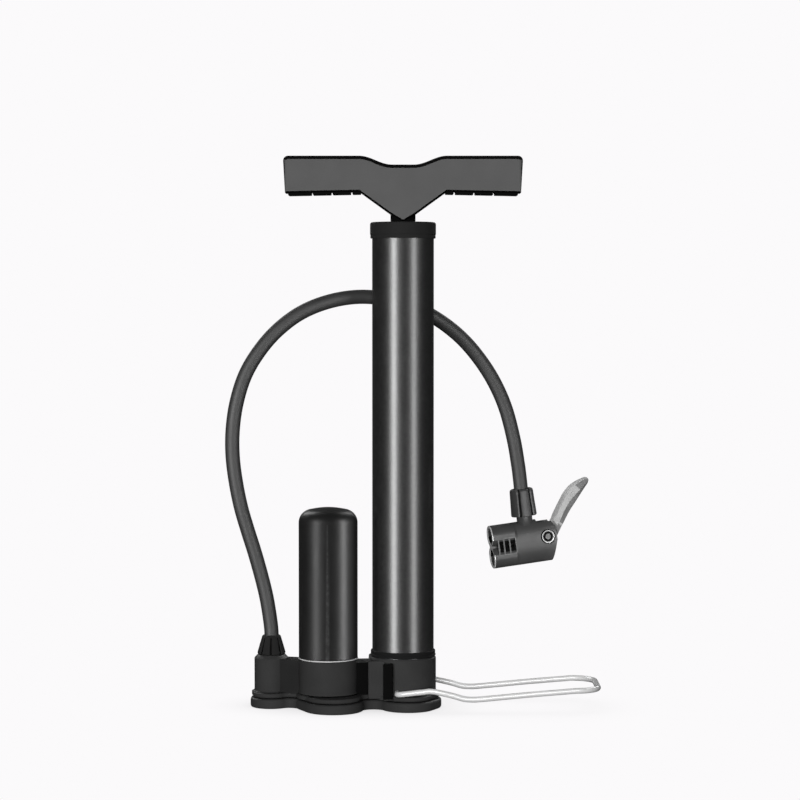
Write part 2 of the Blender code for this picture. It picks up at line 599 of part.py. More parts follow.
def make_housing(material):
    flange = plate("base_housing", [sole_outline(FLANGE_INSET)], HOUSING_BOTTOM,
                   HOUSING_TOP_OF_FLANGE, None, material)
    round_edges(flange, FLANGE_EDGE, 1)
    barrel_tower = tower("barrel_tower", (0, 0), BARREL_TOWER_RADIUS, BARREL_TOWER_TOP,
                         TOWER_CHAMFER_REACH, TOWER_CHAMFER)
    pivot = columns((STIRRUP_PIVOT[0], 0, STIRRUP_PIVOT[1]), (1, 0, 0), (0, 0, 1), (0, -1, 0))
    inner = BARREL_TOWER_RADIUS - STIRRUP_HOLE_DEPTH
    outer = BARREL_TOWER_RADIUS + MM
    cut(barrel_tower,
        disc("wire_hole_front", WIRE_HOLE_RADIUS, inner, outer, pivot, steps=SMALL),
        disc("wire_hole_rear", WIRE_HOLE_RADIUS, -outer, -inner, pivot, steps=SMALL))
    add(flange,
        barrel_tower,
        tower("tank_tower", TANK_AXIS, TANK_TOWER_RADIUS, TANK_TOWER_TOP, TANK_TOWER_CHAMFER,
              TANK_TOWER_CHAMFER),
        tower("outlet_tower", OUTLET_AXIS, OUTLET_TOWER_RADIUS, OUTLET_TOWER_TOP,
              OUTLET_CHAMFER, OUTLET_CHAMFER),
        web("web_barrel_tank", (0, 0), TANK_AXIS, WEB_WIDTH / 2, WEB_BARREL_TOP),
        web("web_tank_outlet", TANK_AXIS, OUTLET_AXIS, WEB_WIDTH / 2, WEB_OUTLET_TOP))
    cheeks = box("cheeks", (-CHEEK_LEFT, -CHEEK_REACH, HOUSING_BOTTOM + MM),
                 (-CHEEK_RIGHT, CHEEK_REACH, BARREL_TOWER_TOP - CHEEK_BELOW_TOP))
    round_edges(cheeks, BLOCK_EDGE, 1)
    rib_right = STIRRUP_PIVOT[0] - WIRE_RADIUS - RIB_SIDE_GAP
    ribs = box("stirrup_ribs", (rib_right - RIB_THICKNESS, -RIB_FRONT, HOUSING_BOTTOM + MM),
               (rib_right, RIB_FRONT, BARREL_TOWER_TOP - RIB_BELOW_TOP))
    round_edges(ribs, BLOCK_EDGE, 1)
    add(flange, cheeks, ribs)

    barrel_room = disc("barrel_socket", BARREL_RADIUS + SLIDE_GAP, BARREL_SOCKET_FLOOR,
                       BARREL_TOWER_TOP + MM, steps=ROUND)
    tank_room = disc("tank_socket", TANK_SOCKET_RADIUS, TANK_SOCKET_FLOOR, TANK_TOWER_TOP + 2 * MM,
                     shift(*TANK_AXIS, 0), steps=ROUND)
    outlet_room = disc("outlet_socket", OUTLET_SOCKET_RADIUS, OUTLET_SOCKET_FLOOR,
                       OUTLET_TOWER_TOP + MM, shift(*OUTLET_AXIS, 0), steps=20)

    cover_room = plate("cover_room", [ribbon_outline(COVER_WIDTH / 2 + SLIDE_GAP)],
                       HOUSING_BOTTOM - MM, CHANNEL_FLOOR)
    channel = plate("air_channel", [ribbon_outline(CHANNEL_WIDTH / 2)], CHANNEL_FLOOR - 0.5 * MM,
                    CHANNEL_ROOF)
    valve_room = disc("valve_room", VALVE_BORE, CHANNEL_FLOOR - 0.6 * MM, VALVE_SEAT, steps=SMALL)
    valve_port = disc("valve_port", VALVE_PORT, VALVE_SEAT - MM, BARREL_SOCKET_FLOOR + MM, steps=16)
    tank_port = disc("tank_port", TANK_PORT, CHANNEL_ROOF - MM, TANK_SOCKET_FLOOR + MM,
                     shift(*TANK_AXIS, 0), steps=16)
    outlet_port = disc("outlet_port", OUTLET_PORT, CHANNEL_ROOF - MM, OUTLET_SOCKET_FLOOR + MM,
                       shift(*OUTLET_AXIS, 0), steps=16)
    threads = []
    for name, x, y in SCREW_PLACES:
        top = SCREW_RECESS + SCREW_HEAD + SCREW_LENGTH + 2 * SEAT_GAP
        threads.append(disc(name + "_thread", SCREW_RADIUS + SLIDE_GAP, HOUSING_BOTTOM - MM, top,
                            shift(x, y, 0), steps=SMALL))
    cut_together(flange, [barrel_room, tank_room, outlet_room, cover_room, channel, valve_room,
                          valve_port, tank_port, outlet_port, *threads])
    return flange


def make_channel_cover(material):
    low = HOUSING_BOTTOM
    return plate("channel_cover", [ribbon_outline(COVER_WIDTH / 2)], low, low + COVER_THICKNESS,
                 None, material)


def make_screws(material):
    for name, x, y in SCREW_PLACES:
        low = SCREW_RECESS
        shoulder = low + SCREW_HEAD
        top = shoulder + SCREW_LENGTH
        profile = [(0, top), (SCREW_RADIUS * 0.5, top), (SCREW_RADIUS, top - MM),
                   (SCREW_RADIUS, shoulder), (SCREW_HEAD_RADIUS, shoulder),
                   (SCREW_HEAD_RADIUS, low + 0.7 * MM), (SCREW_HEAD_RADIUS * 0.75, low), (0, low)]
        screw = turned(name, profile, shift(x, y, 0), material, steps=16)
        for turn in (0, 90):
            bar = box(name + "_drive_%d" % turn, (-1.8 * MM, -0.4 * MM, low - MM),
                      (1.8 * MM, 0.4 * MM, low + MM),
                      shift(x, y, 0) @ Matrix.Rotation(math.radians(turn), 4, "Z"))
            cut(screw, bar)


# ---------------------------------------------------------------- barrel and reservoir
def make_barrel(tube, rubber, plastic, brass):
    tube_ring("barrel_tube", BARREL_RADIUS, BARREL_BORE, BARREL_BOTTOM, BARREL_TOP, None, tube)
    seal_low = BARREL_SOCKET_FLOOR + SEAT_GAP
    seal_outer = BARREL_RADIUS - 0.1 * MM
    tube_ring("barrel_seal", seal_outer, seal_outer - SEAL_WIDTH, seal_low,
              seal_low + SEAL_THICKNESS, None, rubber, MEDIUM)
    collar_low = BARREL_TOWER_TOP + SEAT_GAP
    inner = BARREL_RADIUS + SLIDE_GAP
    outer = inner + COLLAR_WALL
    collar_top = collar_low + COLLAR_HEIGHT
    turned("barrel_collar", [(inner + 0.3 * MM, collar_top), (outer, collar_top - MM),
                             (outer, collar_low), (inner, collar_low), (inner, collar_top)],
           None, rubber, ring=True)

    cap_low = CAP_TOP - CAP_HEIGHT
    hole = BUSH_SLEEVE_RADIUS + SLIDE_GAP
    turned("top_cap", [(CAP_RADIUS - 1.5 * MM, CAP_TOP), (CAP_RADIUS - 0.4 * MM, CAP_TOP - 0.6 * MM),
                       (CAP_RADIUS, CAP_TOP - 1.8 * MM), (CAP_RADIUS, cap_low + MM),
                       (CAP_RADIUS - 0.7 * MM, cap_low), (inner, cap_low),
                       (inner, CAP_TOP - CAP_ROOF), (hole, CAP_TOP - CAP_ROOF), (hole, CAP_TOP)],
           None, plastic, ring=True)

    flange_top = CAP_TOP - CAP_ROOF - SEAT_GAP
    flange_low = flange_top - BUSH_FLANGE
    bore = ROD_RADIUS + SLIDE_GAP
    turned("rod_bush", [(BUSH_SLEEVE_RADIUS, CAP_TOP - SEAT_GAP), (BUSH_SLEEVE_RADIUS, flange_top),
                        (BUSH_FLANGE_RADIUS, flange_top), (BUSH_FLANGE_RADIUS, flange_low),
                        (bore, flange_low), (bore, CAP_TOP - SEAT_GAP)],
           None, brass, MEDIUM, ring=True)


def dome_profile(radius, top, shoulder, crown, low):
    """Outer side of the reservoir from the middle of its crown down to its shoulder's foot."""
    flat = radius - shoulder
    points = [(0.0, top)]
    points += [(flat * i / 3, top - crown * (i / 3) ** 2) for i in (1, 2)]
    for i in range(7):
        turn = math.pi / 2 * (1 - i / 6)
        points.append((flat + shoulder * math.cos(turn),
                       top - crown - shoulder + shoulder * math.sin(turn)))
    points.append((radius, low))
    return points


def make_tank(painted, rubber, bright):
    frame = shift(*TANK_AXIS, 0)
    outside = dome_profile(TANK_RADIUS, TANK_TOP, TANK_SHOULDER, TANK_CROWN, TANK_SHELL_BOTTOM)
    inside = dome_profile(TANK_RADIUS - TANK_WALL, TANK_TOP - TANK_WALL, TANK_SHOULDER - TANK_WALL,
                          TANK_CROWN, TANK_SHELL_BOTTOM + TANK_WALL)
    neck_inner = TANK_NECK_RADIUS - TANK_WALL
    profile = outside + [(TANK_NECK_RADIUS, TANK_SHELL_BOTTOM), (TANK_NECK_RADIUS, TANK_NECK_BOTTOM),
                         (neck_inner, TANK_NECK_BOTTOM), (neck_inner, TANK_SHELL_BOTTOM + TANK_WALL)]
    profile += list(reversed(inside))
    turned("tank_shell", profile, frame, painted, ROUND - 8)
    tube_ring("tank_ring", TANK_RADIUS + TANK_RING_LIP, TANK_NECK_RADIUS + SLIDE_GAP,
              TANK_RING_BOTTOM, TANK_RING_BOTTOM + TANK_RING_HEIGHT, frame, bright, ROUND - 8)
    seal_low = TANK_SOCKET_FLOOR + SEAT_GAP
    tube_ring("tank_seal", TANK_NECK_RADIUS, TANK_NECK_RADIUS - SEAL_WIDTH, seal_low,
              seal_low + SEAL_THICKNESS, frame, rubber, MEDIUM)


# ---------------------------------------------------------------- check valve
def make_check_valve(bright, steel):
    lift = empty("check_ball_axis", (0, 0, BALL_CENTRE))
    mesh = bpy.data.meshes.new("check_ball")
    shape = bmesh.new()
    bmesh.ops.create_uvsphere(shape, u_segments=14, v_segments=8, radius=BALL_RADIUS)
    shape.to_mesh(mesh)
    shape.free()
    smooth(mesh)
    ball = add_object("check_ball", mesh, shift(0, 0, BALL_CENTRE), bright)
    carry(ball, lift)

    low = HOUSING_BOTTOM + COVER_THICKNESS + SEAT_GAP + SPRING_WIRE
    reach = BALL_RADIUS + SEAT_GAP + SPRING_WIRE
    high = BALL_CENTRE - math.sqrt(reach ** 2 - SPRING_RADIUS ** 2)
    steps = SPRING_TURNS * 9
    coil = []
    for i in range(steps + 1):
        turn = 2 * math.pi * SPRING_TURNS * i / steps
        coil.append((SPRING_RADIUS * math.cos(turn), SPRING_RADIUS * math.sin(turn),
                     low + (high - low) * i / steps))
    rod_along("check_spring", coil, SPRING_WIRE, None, steel)


# ---------------------------------------------------------------- piston, rod and handle
def empty(name, place):
    made = bpy.data.objects.new(name, None)
    made.empty_display_size = 0.01
    made.location = place
    PUMP.objects.link(made)
    bpy.context.view_layer.update()
    return made


def carry(piece, parent):
    """Hang a piece on an empty without moving it."""
    frame = piece.matrix_world.copy()
    piece.parent = parent
    piece.matrix_parent_inverse = parent.matrix_world.inverted()
    piece.matrix_world = frame


def hex_nut(name, radius, hole, low, high, material):
    outline = arc((0, 0), radius, 0, 2 * math.pi, 6)[:-1]
    nut = plate(name, [outline], low, high, None, material)
    cut(nut, disc(name + "_thread", hole, low - MM, high + MM, steps=16))
    return nut


def make_piston(rubber, plastic, steel, rod_metal, axis):
    inner = CUP_RADIUS - CUP_WALL
    hole = THREAD_RADIUS + SLIDE_GAP
    skirt_low = CUP_WEB_BOTTOM - CUP_SKIRT
    cup = turned("piston_cup", [(CUP_RADIUS - 0.5 * MM, CUP_TOP), (CUP_RADIUS, skirt_low),
                                (inner, skirt_low), (inner - 0.5 * MM, CUP_WEB_BOTTOM),
                                (hole, CUP_WEB_BOTTOM), (hole, CUP_TOP)],
                 None, rubber, MEDIUM, ring=True)
    washer = tube_ring("piston_washer", PISTON_WASHER_RADIUS, hole, WASHER_BOTTOM,
                       WASHER_BOTTOM + PISTON_WASHER, None, steel, MEDIUM)
    nut = hex_nut("piston_nut", PISTON_NUT_RADIUS, hole, *PISTON_NUT, steel)
    core_radius = BARREL_BORE - CORE_GAP
    core = turned("piston_core", [(core_radius - MM, CORE_TOP), (core_radius, CORE_TOP - MM),
                                  (core_radius, CORE_BOTTOM), (hole, CORE_BOTTOM), (hole, CORE_TOP)],
                  None, plastic, MEDIUM, ring=True)
    bumper_low = CORE_TOP + SEAT_GAP
    bumper = tube_ring("piston_bumper", BUMPER_RADIUS, ROD_RADIUS + SLIDE_GAP, bumper_low,
                       bumper_low + BUMPER_HEIGHT, None, rubber, MEDIUM)
    rod_top = HANDLE_NUT_BOTTOM + HANDLE_NUT + THREAD_ABOVE_NUT
    rod = turned("piston_rod", [(0, rod_top), (THREAD_RADIUS, rod_top),
                                (THREAD_RADIUS, ROD_TOP_SHOULDER), (ROD_RADIUS, ROD_TOP_SHOULDER),
                                (ROD_RADIUS, ROD_SHOULDER), (THREAD_RADIUS, ROD_SHOULDER),
                                (THREAD_RADIUS, ROD_BOTTOM), (0, ROD_BOTTOM)],
                 None, rod_metal, SMALL)
    for piece in (cup, washer, nut, core, bumper, rod):
        carry(piece, axis)


def handle_outline():
    """Front outline of the handle: its right half, and the same points mirrored."""
    half = [(0.0, HANDLE_TIP), (HANDLE_V_KNEE, HANDLE_TIP + HANDLE_V_KNEE_RISE),
            (HANDLE_V_EDGE, HANDLE_WING_BOTTOM + HANDLE_V_EDGE_RISE),
            (HANDLE_HALF_BOTTOM, HANDLE_WING_BOTTOM)]
    corner = (HANDLE_HALF_TOP - HANDLE_CORNER, HANDLE_TOP - HANDLE_CORNER)
    half += arc(corner, HANDLE_CORNER, 0, math.pi / 2, 4)
    steps = 8
    for i in range(steps + 1):
        share = i / steps
        x = HANDLE_DIP_EDGE + (HANDLE_DIP_HALF - HANDLE_DIP_EDGE) * share
        half.append((x, HANDLE_TOP - HANDLE_DIP * (1 - math.cos(math.pi * share)) / 2))
    mirrored = [(-x, z) for x, z in reversed(half) if x > 0]
    return half + mirrored


def make_handle(plastic, grip, steel, axis):
    upright = Matrix.Rotation(math.pi / 2, 4, "X")
    handle = plate("handle", [handle_outline()], -HANDLE_DEPTH / 2, HANDLE_DEPTH / 2, upright, plastic)
    round_edges(handle, HANDLE_EDGE)
    neck = disc("handle_neck", HANDLE_NECK_RADIUS, CAP_TOP + SEAT_GAP,
                CAP_TOP + HANDLE_NECK_HEIGHT, steps=MEDIUM)
    add(handle, neck)
    rod_hole = disc("rod_hole", ROD_RADIUS + SLIDE_GAP, CAP_TOP - MM, ROD_TOP_SHOULDER + SEAT_GAP,
                    steps=SMALL)
    thread_hole = disc("thread_hole", THREAD_RADIUS + SLIDE_GAP, CAP_TOP, HANDLE_DIP_TOP, steps=SMALL)
    nut_room = disc("nut_room", PLUG_RADIUS + SLIDE_GAP, HANDLE_NUT_BOTTOM - SEAT_GAP,
                    HANDLE_TOP + MM, steps=MEDIUM)
    cut(handle, rod_hole, thread_hole, nut_room)
    carry(handle, axis)

    slope = HANDLE_V_EDGE_RISE / (HANDLE_HALF_BOTTOM - HANDLE_V_EDGE)
    for side, sign in (("left", -1), ("right", 1)):
        room = box("wing_room_" + side, (COVER_INNER - SLIDE_GAP, -COVER_DEPTH / 2 - SLIDE_GAP,
                                         HANDLE_WING_BOTTOM - 9 * MM),
                   (COVER_OUTER + SLIDE_GAP, COVER_DEPTH / 2 + SLIDE_GAP,
                    HANDLE_TOP - HANDLE_POCKET_ROOF))
        if sign < 0:
            room.matrix_world = Matrix.Rotation(math.pi, 4, "Z")
        cut(handle, room)

        def underside(x):
            return HANDLE_WING_BOTTOM + slope * (HANDLE_HALF_BOTTOM - x) - COVER_PROUD

        top = HANDLE_WING_BOTTOM + COVER_SEAT
        outline = [(COVER_INNER, underside(COVER_INNER))]
        for notch in COVER_NOTCHES:
            left = notch - COVER_NOTCH / 2
            right = notch + COVER_NOTCH / 2
            outline += [(left, underside(left)), (left, underside(left) + COVER_PROUD),
                        (right, underside(right) + COVER_PROUD), (right, underside(right))]
        outline += [(COVER_OUTER, underside(COVER_OUTER)), (COVER_OUTER, top), (COVER_INNER, top)]
        frame = Matrix.Rotation(0 if sign > 0 else math.pi, 4, "Z") @ upright
        cover = plate("handle_under_cover_" + side, [outline], -COVER_DEPTH / 2, COVER_DEPTH / 2,
                      frame, grip)
        carry(cover, axis)

    nut = hex_nut("handle_nut", HANDLE_NUT_RADIUS, THREAD_RADIUS + SLIDE_GAP, HANDLE_NUT_BOTTOM,
                  HANDLE_NUT_BOTTOM + HANDLE_NUT, steel)
    plug_low = HANDLE_NUT_BOTTOM + HANDLE_NUT + THREAD_ABOVE_NUT + SEAT_GAP
    plug = disc("handle_plug", PLUG_RADIUS, plug_low, HANDLE_DIP_TOP - SEAT_GAP, None, plastic)
    carry(nut, axis)
    carry(plug, axis)


# ---------------------------------------------------------------- stirrup
def stirrup_side():
    """One leg from the hook to the corner, along X and Z."""
    pivot_x, pivot_z = STIRRUP_PIVOT
    start = (pivot_x + STIRRUP_HOOK, pivot_z + 0.35 * MM)
    crest = (STIRRUP_PEAK[0] - 6 * MM, STIRRUP_PEAK[1] - 0.4 * MM)
    slope = (30 * MM, 11.0 * MM)
    dip_start = (STIRRUP_DIP[0] - 5 * MM, STIRRUP_DIP[1] + 0.4 * MM)
    dip_end = (STIRRUP_DIP[0] + 6 * MM, STIRRUP_DIP[1] + 0.25 * MM)
    corner = (STIRRUP_END[0] - STIRRUP_CORNER, STIRRUP_END[1])
    rise = (76 * MM, (STIRRUP_DIP[1] + corner[1]) / 2 + 0.2 * MM)
    route = [start, crest, STIRRUP_PEAK, slope, dip_start, STIRRUP_DIP, dip_end, rise, corner]
    return smooth_route([Vector((x, 0.0, z)) for x, z in route], 26)


def make_stirrup(wire):
    pivot_x, pivot_z = STIRRUP_PIVOT
    half = STIRRUP_HALF
    hook = STIRRUP_HOOK
    inner_end = BARREL_TOWER_RADIUS - STIRRUP_HOLE_DEPTH + SEAT_GAP
    points = [Vector((pivot_x, -inner_end, pivot_z))]
    for i in range(5):
        turn = math.pi / 2 * i / 4
        points.append(Vector((pivot_x + hook * (1 - math.cos(turn)), -half + hook * (1 - math.sin(turn)),
                              pivot_z + 0.35 * MM * (1 - math.cos(turn)))))
    points += [Vector((p.x, -half, p.z)) for p in stirrup_side()[1:]]
    for i in range(1, 8):
        turn = math.pi / 2 * i / 7
        points.append(Vector((STIRRUP_END[0] - STIRRUP_CORNER * (1 - math.sin(turn)),
                              -half + STIRRUP_CORNER * (1 - math.cos(turn)), STIRRUP_END[1])))
    points += [Vector((p.x, -p.y, p.z)) for p in reversed(points)]
    stirrup = rod_along("stirrup", [tuple(p) for p in points], WIRE_RADIUS, None, wire, 2)
    carry(stirrup, empty("stirrup_pivot", (pivot_x, 0, pivot_z)))


# ---------------------------------------------------------------- hose and its nuts
def hose_point(along, up):
    """A place in the hose's upright plane, as a world point."""
    return Vector((OUTLET_AXIS[0] + along * math.cos(HOSE_YAW),
                   OUTLET_AXIS[1] + along * math.sin(HOSE_YAW), up))


def grooved_nut(name, walls, height, low, grooves, frame, material):
    """A tapered nut around the hose, with upright grooves."""
    bottom = HOSE_RADIUS + walls[0]
    top = HOSE_RADIUS + walls[1]
    bore = HOSE_RADIUS + SLIDE_GAP
    nut = turned(name, [(top - 0.8 * MM, low + height), (top, low + height - 0.8 * MM),
                        (bottom, low + MM), (bottom - 0.5 * MM, low), (bore, low),
                        (bore, low + height)], frame, material, MEDIUM, ring=True)
    lean = math.atan2(bottom - top, height - 1.8 * MM)
    for i in range(grooves):
        turn = Matrix.Rotation(2 * math.pi * (i + 0.5) / grooves, 4, "Z")
        place = turn @ shift(bottom, 0, low) @ Matrix.Rotation(-lean, 4, "Y")
        bar = box("%s_groove_%d" % (name, i), (-NUT_GROOVE, -NUT_GROOVE / 2, -2 * MM),
                  (3 * MM, NUT_GROOVE / 2, height - 1.5 * MM), frame @ place)
        cut(nut, bar)
    return nut


def make_hose(rubber, plastic, brass, head):
    route = [hose_point(along * MM, up * MM) for along, up in HOSE_ROUTE]
    points = smooth_route(route, HOSE_POINTS)
    rod_along("hose", [tuple(p) for p in points], HOSE_RADIUS, None, rubber, 2)
    frame = shift(*OUTLET_AXIS, 0)
    grooved_nut("hose_nut_base", BASE_NUT_WALLS, BASE_NUT_HEIGHT, OUTLET_TOWER_TOP + SEAT_GAP, 8,
                frame, plastic)
    fitting_low = OUTLET_SOCKET_FLOOR + SEAT_GAP
    radius = min(OUTLET_SOCKET_RADIUS - SLIDE_GAP, HOSE_RADIUS)
    tube_ring("outlet_fitting", radius, FITTING_BORE, fitting_low,
              HOSE_START - SEAT_GAP, frame, brass, SMALL)
    grooved_nut("hose_nut_head", HEAD_NUT_WALLS, HEAD_NUT_HEIGHT, SPIGOT_TOP + SEAT_GAP, 6, head,
                plastic)
    nipple_low = TUBE_RADIUS + 2.0 * MM
    nipple = SPIGOT_BORE - SLIDE_GAP
    turned("head_nipple", [(HOSE_RADIUS, NIPPLE_TOP), (HOSE_RADIUS, SPIGOT_TOP + SEAT_GAP),
                           (nipple, SPIGOT_TOP + SEAT_GAP), (nipple, nipple_low),
                           (FITTING_BORE, nipple_low), (FITTING_BORE, NIPPLE_TOP)],
           head, brass, SMALL, ring=True)


# ---------------------------------------------------------------- twin head
def head_frame():
    """u runs through the head towards the lever, w up along the hose, v to the back."""
    level = Vector((math.cos(HOSE_YAW), math.sin(HOSE_YAW), 0.0))
    up = Vector((0.0, 0.0, 1.0))
    u = level * math.cos(HEAD_TILT) + up * math.sin(HEAD_TILT)
    w = up * math.cos(HEAD_TILT) - level * math.sin(HEAD_TILT)
    return columns(hose_point(HEAD_ALONG, HEAD_HEIGHT), u, w.cross(u), w)


def along_u(head, v=0.0, w=0.0):
    """Local Z along u, local X along v and local Y along w."""
    return head @ columns((0, v, w), (0, 1, 0), (0, 0, 1), (1, 0, 0))


def side_on(head):
    """Local X along u, local Y along w, local Z to the front."""
    return head @ columns((0, 0, 0), (1, 0, 0), (0, 0, 1), (0, -1, 0))


def stadium(radius, offset, steps=12):
    upper = arc((0, offset), radius, 0, math.pi, steps)
    lower = arc((0, -offset), radius, math.pi, 2 * math.pi, steps)
    return upper + lower


def valley(sign):
    """The hollow between the two tubes on one side, in v and w."""
    deep = VALLEY_DEPTH
    outside = TUBE_RADIUS + MM
    start = math.acos(min(1.0, deep / TUBE_RADIUS))
    stop = math.radians(18)
    wall = [(TUBE_RADIUS * math.cos(t), TUBE_RADIUS - TUBE_RADIUS * math.sin(t))
            for t in (start + (stop - start) * i / 5 for i in range(6))]
    wall.append((outside, wall[-1][1]))
    outline = wall + [(v, -w) for v, w in reversed(wall)]
    return [(sign * v, w) for v, w in outline]


def make_head_body(metal, head):
    through = along_u(head)
    body = plate("head_body", [stadium(TUBE_RADIUS, TUBE_RADIUS)], -HEAD_FRONT, HEAD_BACK,
                 through, metal)
    back = [(-HEAD_FRONT - MM, -2 * TUBE_RADIUS - MM), (HEAD_BACK_FOOT, -2 * TUBE_RADIUS - MM),
            (HEAD_BACK_FOOT, -2 * TUBE_RADIUS), (HEAD_BACK - 0.2 * MM, 0.0), HEAD_BACK_SHOULDER,
            (HEAD_BACK_TOP, 2 * TUBE_RADIUS), (HEAD_BACK_TOP, 2 * TUBE_RADIUS + MM),
            (-HEAD_FRONT - MM, 2 * TUBE_RADIUS + MM)]
    trim = plate("head_side_shape", [back], -2 * TUBE_RADIUS, 2 * TUBE_RADIUS, side_on(head))
    boolean(body, trim, "INTERSECT")
    add(body, disc("spigot", SPIGOT_RADIUS, TUBE_RADIUS + MM, SPIGOT_TOP, head, steps=MEDIUM))

    plate_half = YOKE_HALF
    reach = TUBE_RADIUS + YOKE_REACH
    pin_frame = head @ columns((LEVER_PIVOT[0], 0, LEVER_PIVOT[1]), (1, 0, 0), (0, 0, 1), (0, -1, 0))
    recess = TUBE_RADIUS + PIN_PROUD - PIN_HEAD - SEAT_GAP
    outside = 2 * TUBE_RADIUS
    rooms = [
        box("lever_room", (LEVER_ROOM[0], -LEVER_ROOT_HALF - SLIDE_GAP, LEVER_ROOM[1]),
            (HEAD_BACK + MM, LEVER_ROOT_HALF + SLIDE_GAP, outside + MM), head),
        box("clamp_room", (CHAMBER[0], -plate_half - SLIDE_GAP, -reach - SLIDE_GAP),
            (CHAMBER[1], plate_half + SLIDE_GAP, reach + SLIDE_GAP), head),
        disc("yoke_bore", YOKE_ROD_RADIUS + SLIDE_GAP, CHAMBER[1] - MM, LEVER_PIVOT[0],
             along_u(head), steps=SMALL),
        disc("spigot_bore", SPIGOT_BORE, TUBE_RADIUS + SPIGOT_FOOT, SPIGOT_TOP + MM, head, steps=SMALL),
        disc("air_port", AIR_PORT, 0.0, TUBE_RADIUS + 2 * MM, head, steps=12),
        disc("pin_bore", PIN_RADIUS + SLIDE_GAP, -outside, outside, pin_frame, steps=SMALL),
        disc("pin_recess_front", PIN_HEAD_RADIUS + SLIDE_GAP, recess, outside, pin_frame),
        disc("pin_recess_rear", PIN_HEAD_RADIUS + SLIDE_GAP, -outside, -recess, pin_frame),
    ]
    for side, w in (("upper", TUBE_RADIUS), ("lower", -TUBE_RADIUS)):
        rooms.append(disc("mouth_" + side, MOUTH_RADIUS, -HEAD_FRONT - MM, CHAMBER[0] + 0.5 * MM,
                          along_u(head, 0, w), steps=MEDIUM))
    for i, (low, high) in enumerate(SLOT_WIDTHS):
        rooms.append(plate("side_slot_%d" % i, [valley(1), valley(-1)], low * MM, high * MM, through))
    cut_together(body, rooms)

    face = TUBE_RADIUS + PIN_PROUD
    under = face - PIN_HEAD
    turned("lever_pin", [(0, face - 0.3 * MM), (1.8 * MM, face - 0.3 * MM), (2.4 * MM, face - 0.8 * MM),
                         (3.4 * MM, face), (PIN_HEAD_RADIUS - 0.4 * MM, face),
                         (PIN_HEAD_RADIUS, face - 0.4 * MM), (PIN_HEAD_RADIUS, under),
                         (PIN_RADIUS, under), (PIN_RADIUS, -under), (PIN_HEAD_RADIUS, -under),
                         (PIN_HEAD_RADIUS, 0.4 * MM - face), (PIN_HEAD_RADIUS - 0.4 * MM, -face),
                         (0, -face)],
           pin_frame, metal, SMALL)


def make_mouth_seals(rubber, head):
    outer = MOUTH_RADIUS - SLIDE_GAP
    low, high = MOUTH_SEAL
    for side, w, wall in (("upper", TUBE_RADIUS, MOUTH_SEAL_WALLS[0]),
                          ("lower", -TUBE_RADIUS, MOUTH_SEAL_WALLS[1])):
        bore = outer - wall
        turned("mouth_seal_" + side, [(outer, high), (outer, low), (bore + 0.5 * MM, low),
                                      (bore, low + 0.8 * MM), (bore, high)],
               along_u(head, 0, w), rubber, SMALL, ring=True)


def make_yoke(metal, head):
    yoke = disc("clamp_yoke", YOKE_ROD_RADIUS, YOKE_PLATE[0] + 0.5 * MM, YOKE_ROD_END,
                along_u(head), metal, SMALL)
    bar = box("yoke_bar", (YOKE_PLATE[0], -YOKE_HALF, -TUBE_RADIUS - YOKE_REACH),
              (YOKE_PLATE[1], YOKE_HALF, TUBE_RADIUS + YOKE_REACH), head)
    add(yoke, bar)
    for side, w in (("upper", TUBE_RADIUS), ("lower", -TUBE_RADIUS)):
        cut(yoke, disc("yoke_hole_" + side, YOKE_HOLE, YOKE_PLATE[0] - MM, YOKE_PLATE[1] + MM,
                       along_u(head, 0, w), steps=16))
    carry(yoke, empty_at("yoke_axis", head @ shift(YOKE_ROD_END, 0, 0)))


def empty_at(name, frame):
    made = empty(name, (0, 0, 0))
    made.matrix_world = frame
    bpy.context.view_layer.update()
    return made


def lever_outline():
    """Side outline of the lever about its pivot, in millimetres."""
    outer = [(0, -2.9), (3.9, -6.4), (6.4, -1.2), (10.6, 5.9), (16.0, 13.9), (21.5, 20.3),
             (26.6, 26.4), (30.3, 30.0)]
    tip = [(31.6, 31.6), (31.6, 32.6), (30.6, 33.1)]
    inner = [(25.2, 31.5), (21.9, 29.9), (18.9, 27.8), (15.3, 24.0), (12.2, 19.6), (8.4, 14.0),
             (5.0, 8.9), (1.6, 4.6), (-1.5, 3.9)]
    return [(x * MM, y * MM) for x, y in outer + tip + inner]


def make_lever(metal, head):
    pivot = head @ columns((LEVER_PIVOT[0], 0, LEVER_PIVOT[1]), (1, 0, 0), (0, 0, 1), (0, -1, 0))
    lever = plate("lever", [lever_outline()], -LEVER_BLADE_HALF, LEVER_BLADE_HALF, pivot, metal)
    cam_place = (CAM_OFFSET * math.cos(CAM_ANGLE), CAM_OFFSET * math.sin(CAM_ANGLE))
    cam = disc("lever_cam", CAM_RADIUS, -LEVER_ROOT_HALF, LEVER_ROOT_HALF,
               pivot @ shift(*cam_place, 0), steps=SMALL)
    outside = LEVER_BLADE_HALF + MM
    narrow_front = disc("lever_narrow_front", LEVER_ROOT_REACH, LEVER_ROOT_HALF, outside, pivot)
    narrow_rear = disc("lever_narrow_rear", LEVER_ROOT_REACH, -outside, -LEVER_ROOT_HALF, pivot)
    cut(lever, narrow_front, narrow_rear)
    add(lever, cam)
    cut(lever, disc("lever_bore", PIN_RADIUS + SLIDE_GAP, -outside, outside, pivot, steps=SMALL))
    carry(lever, empty_at("lever_pivot", pivot))


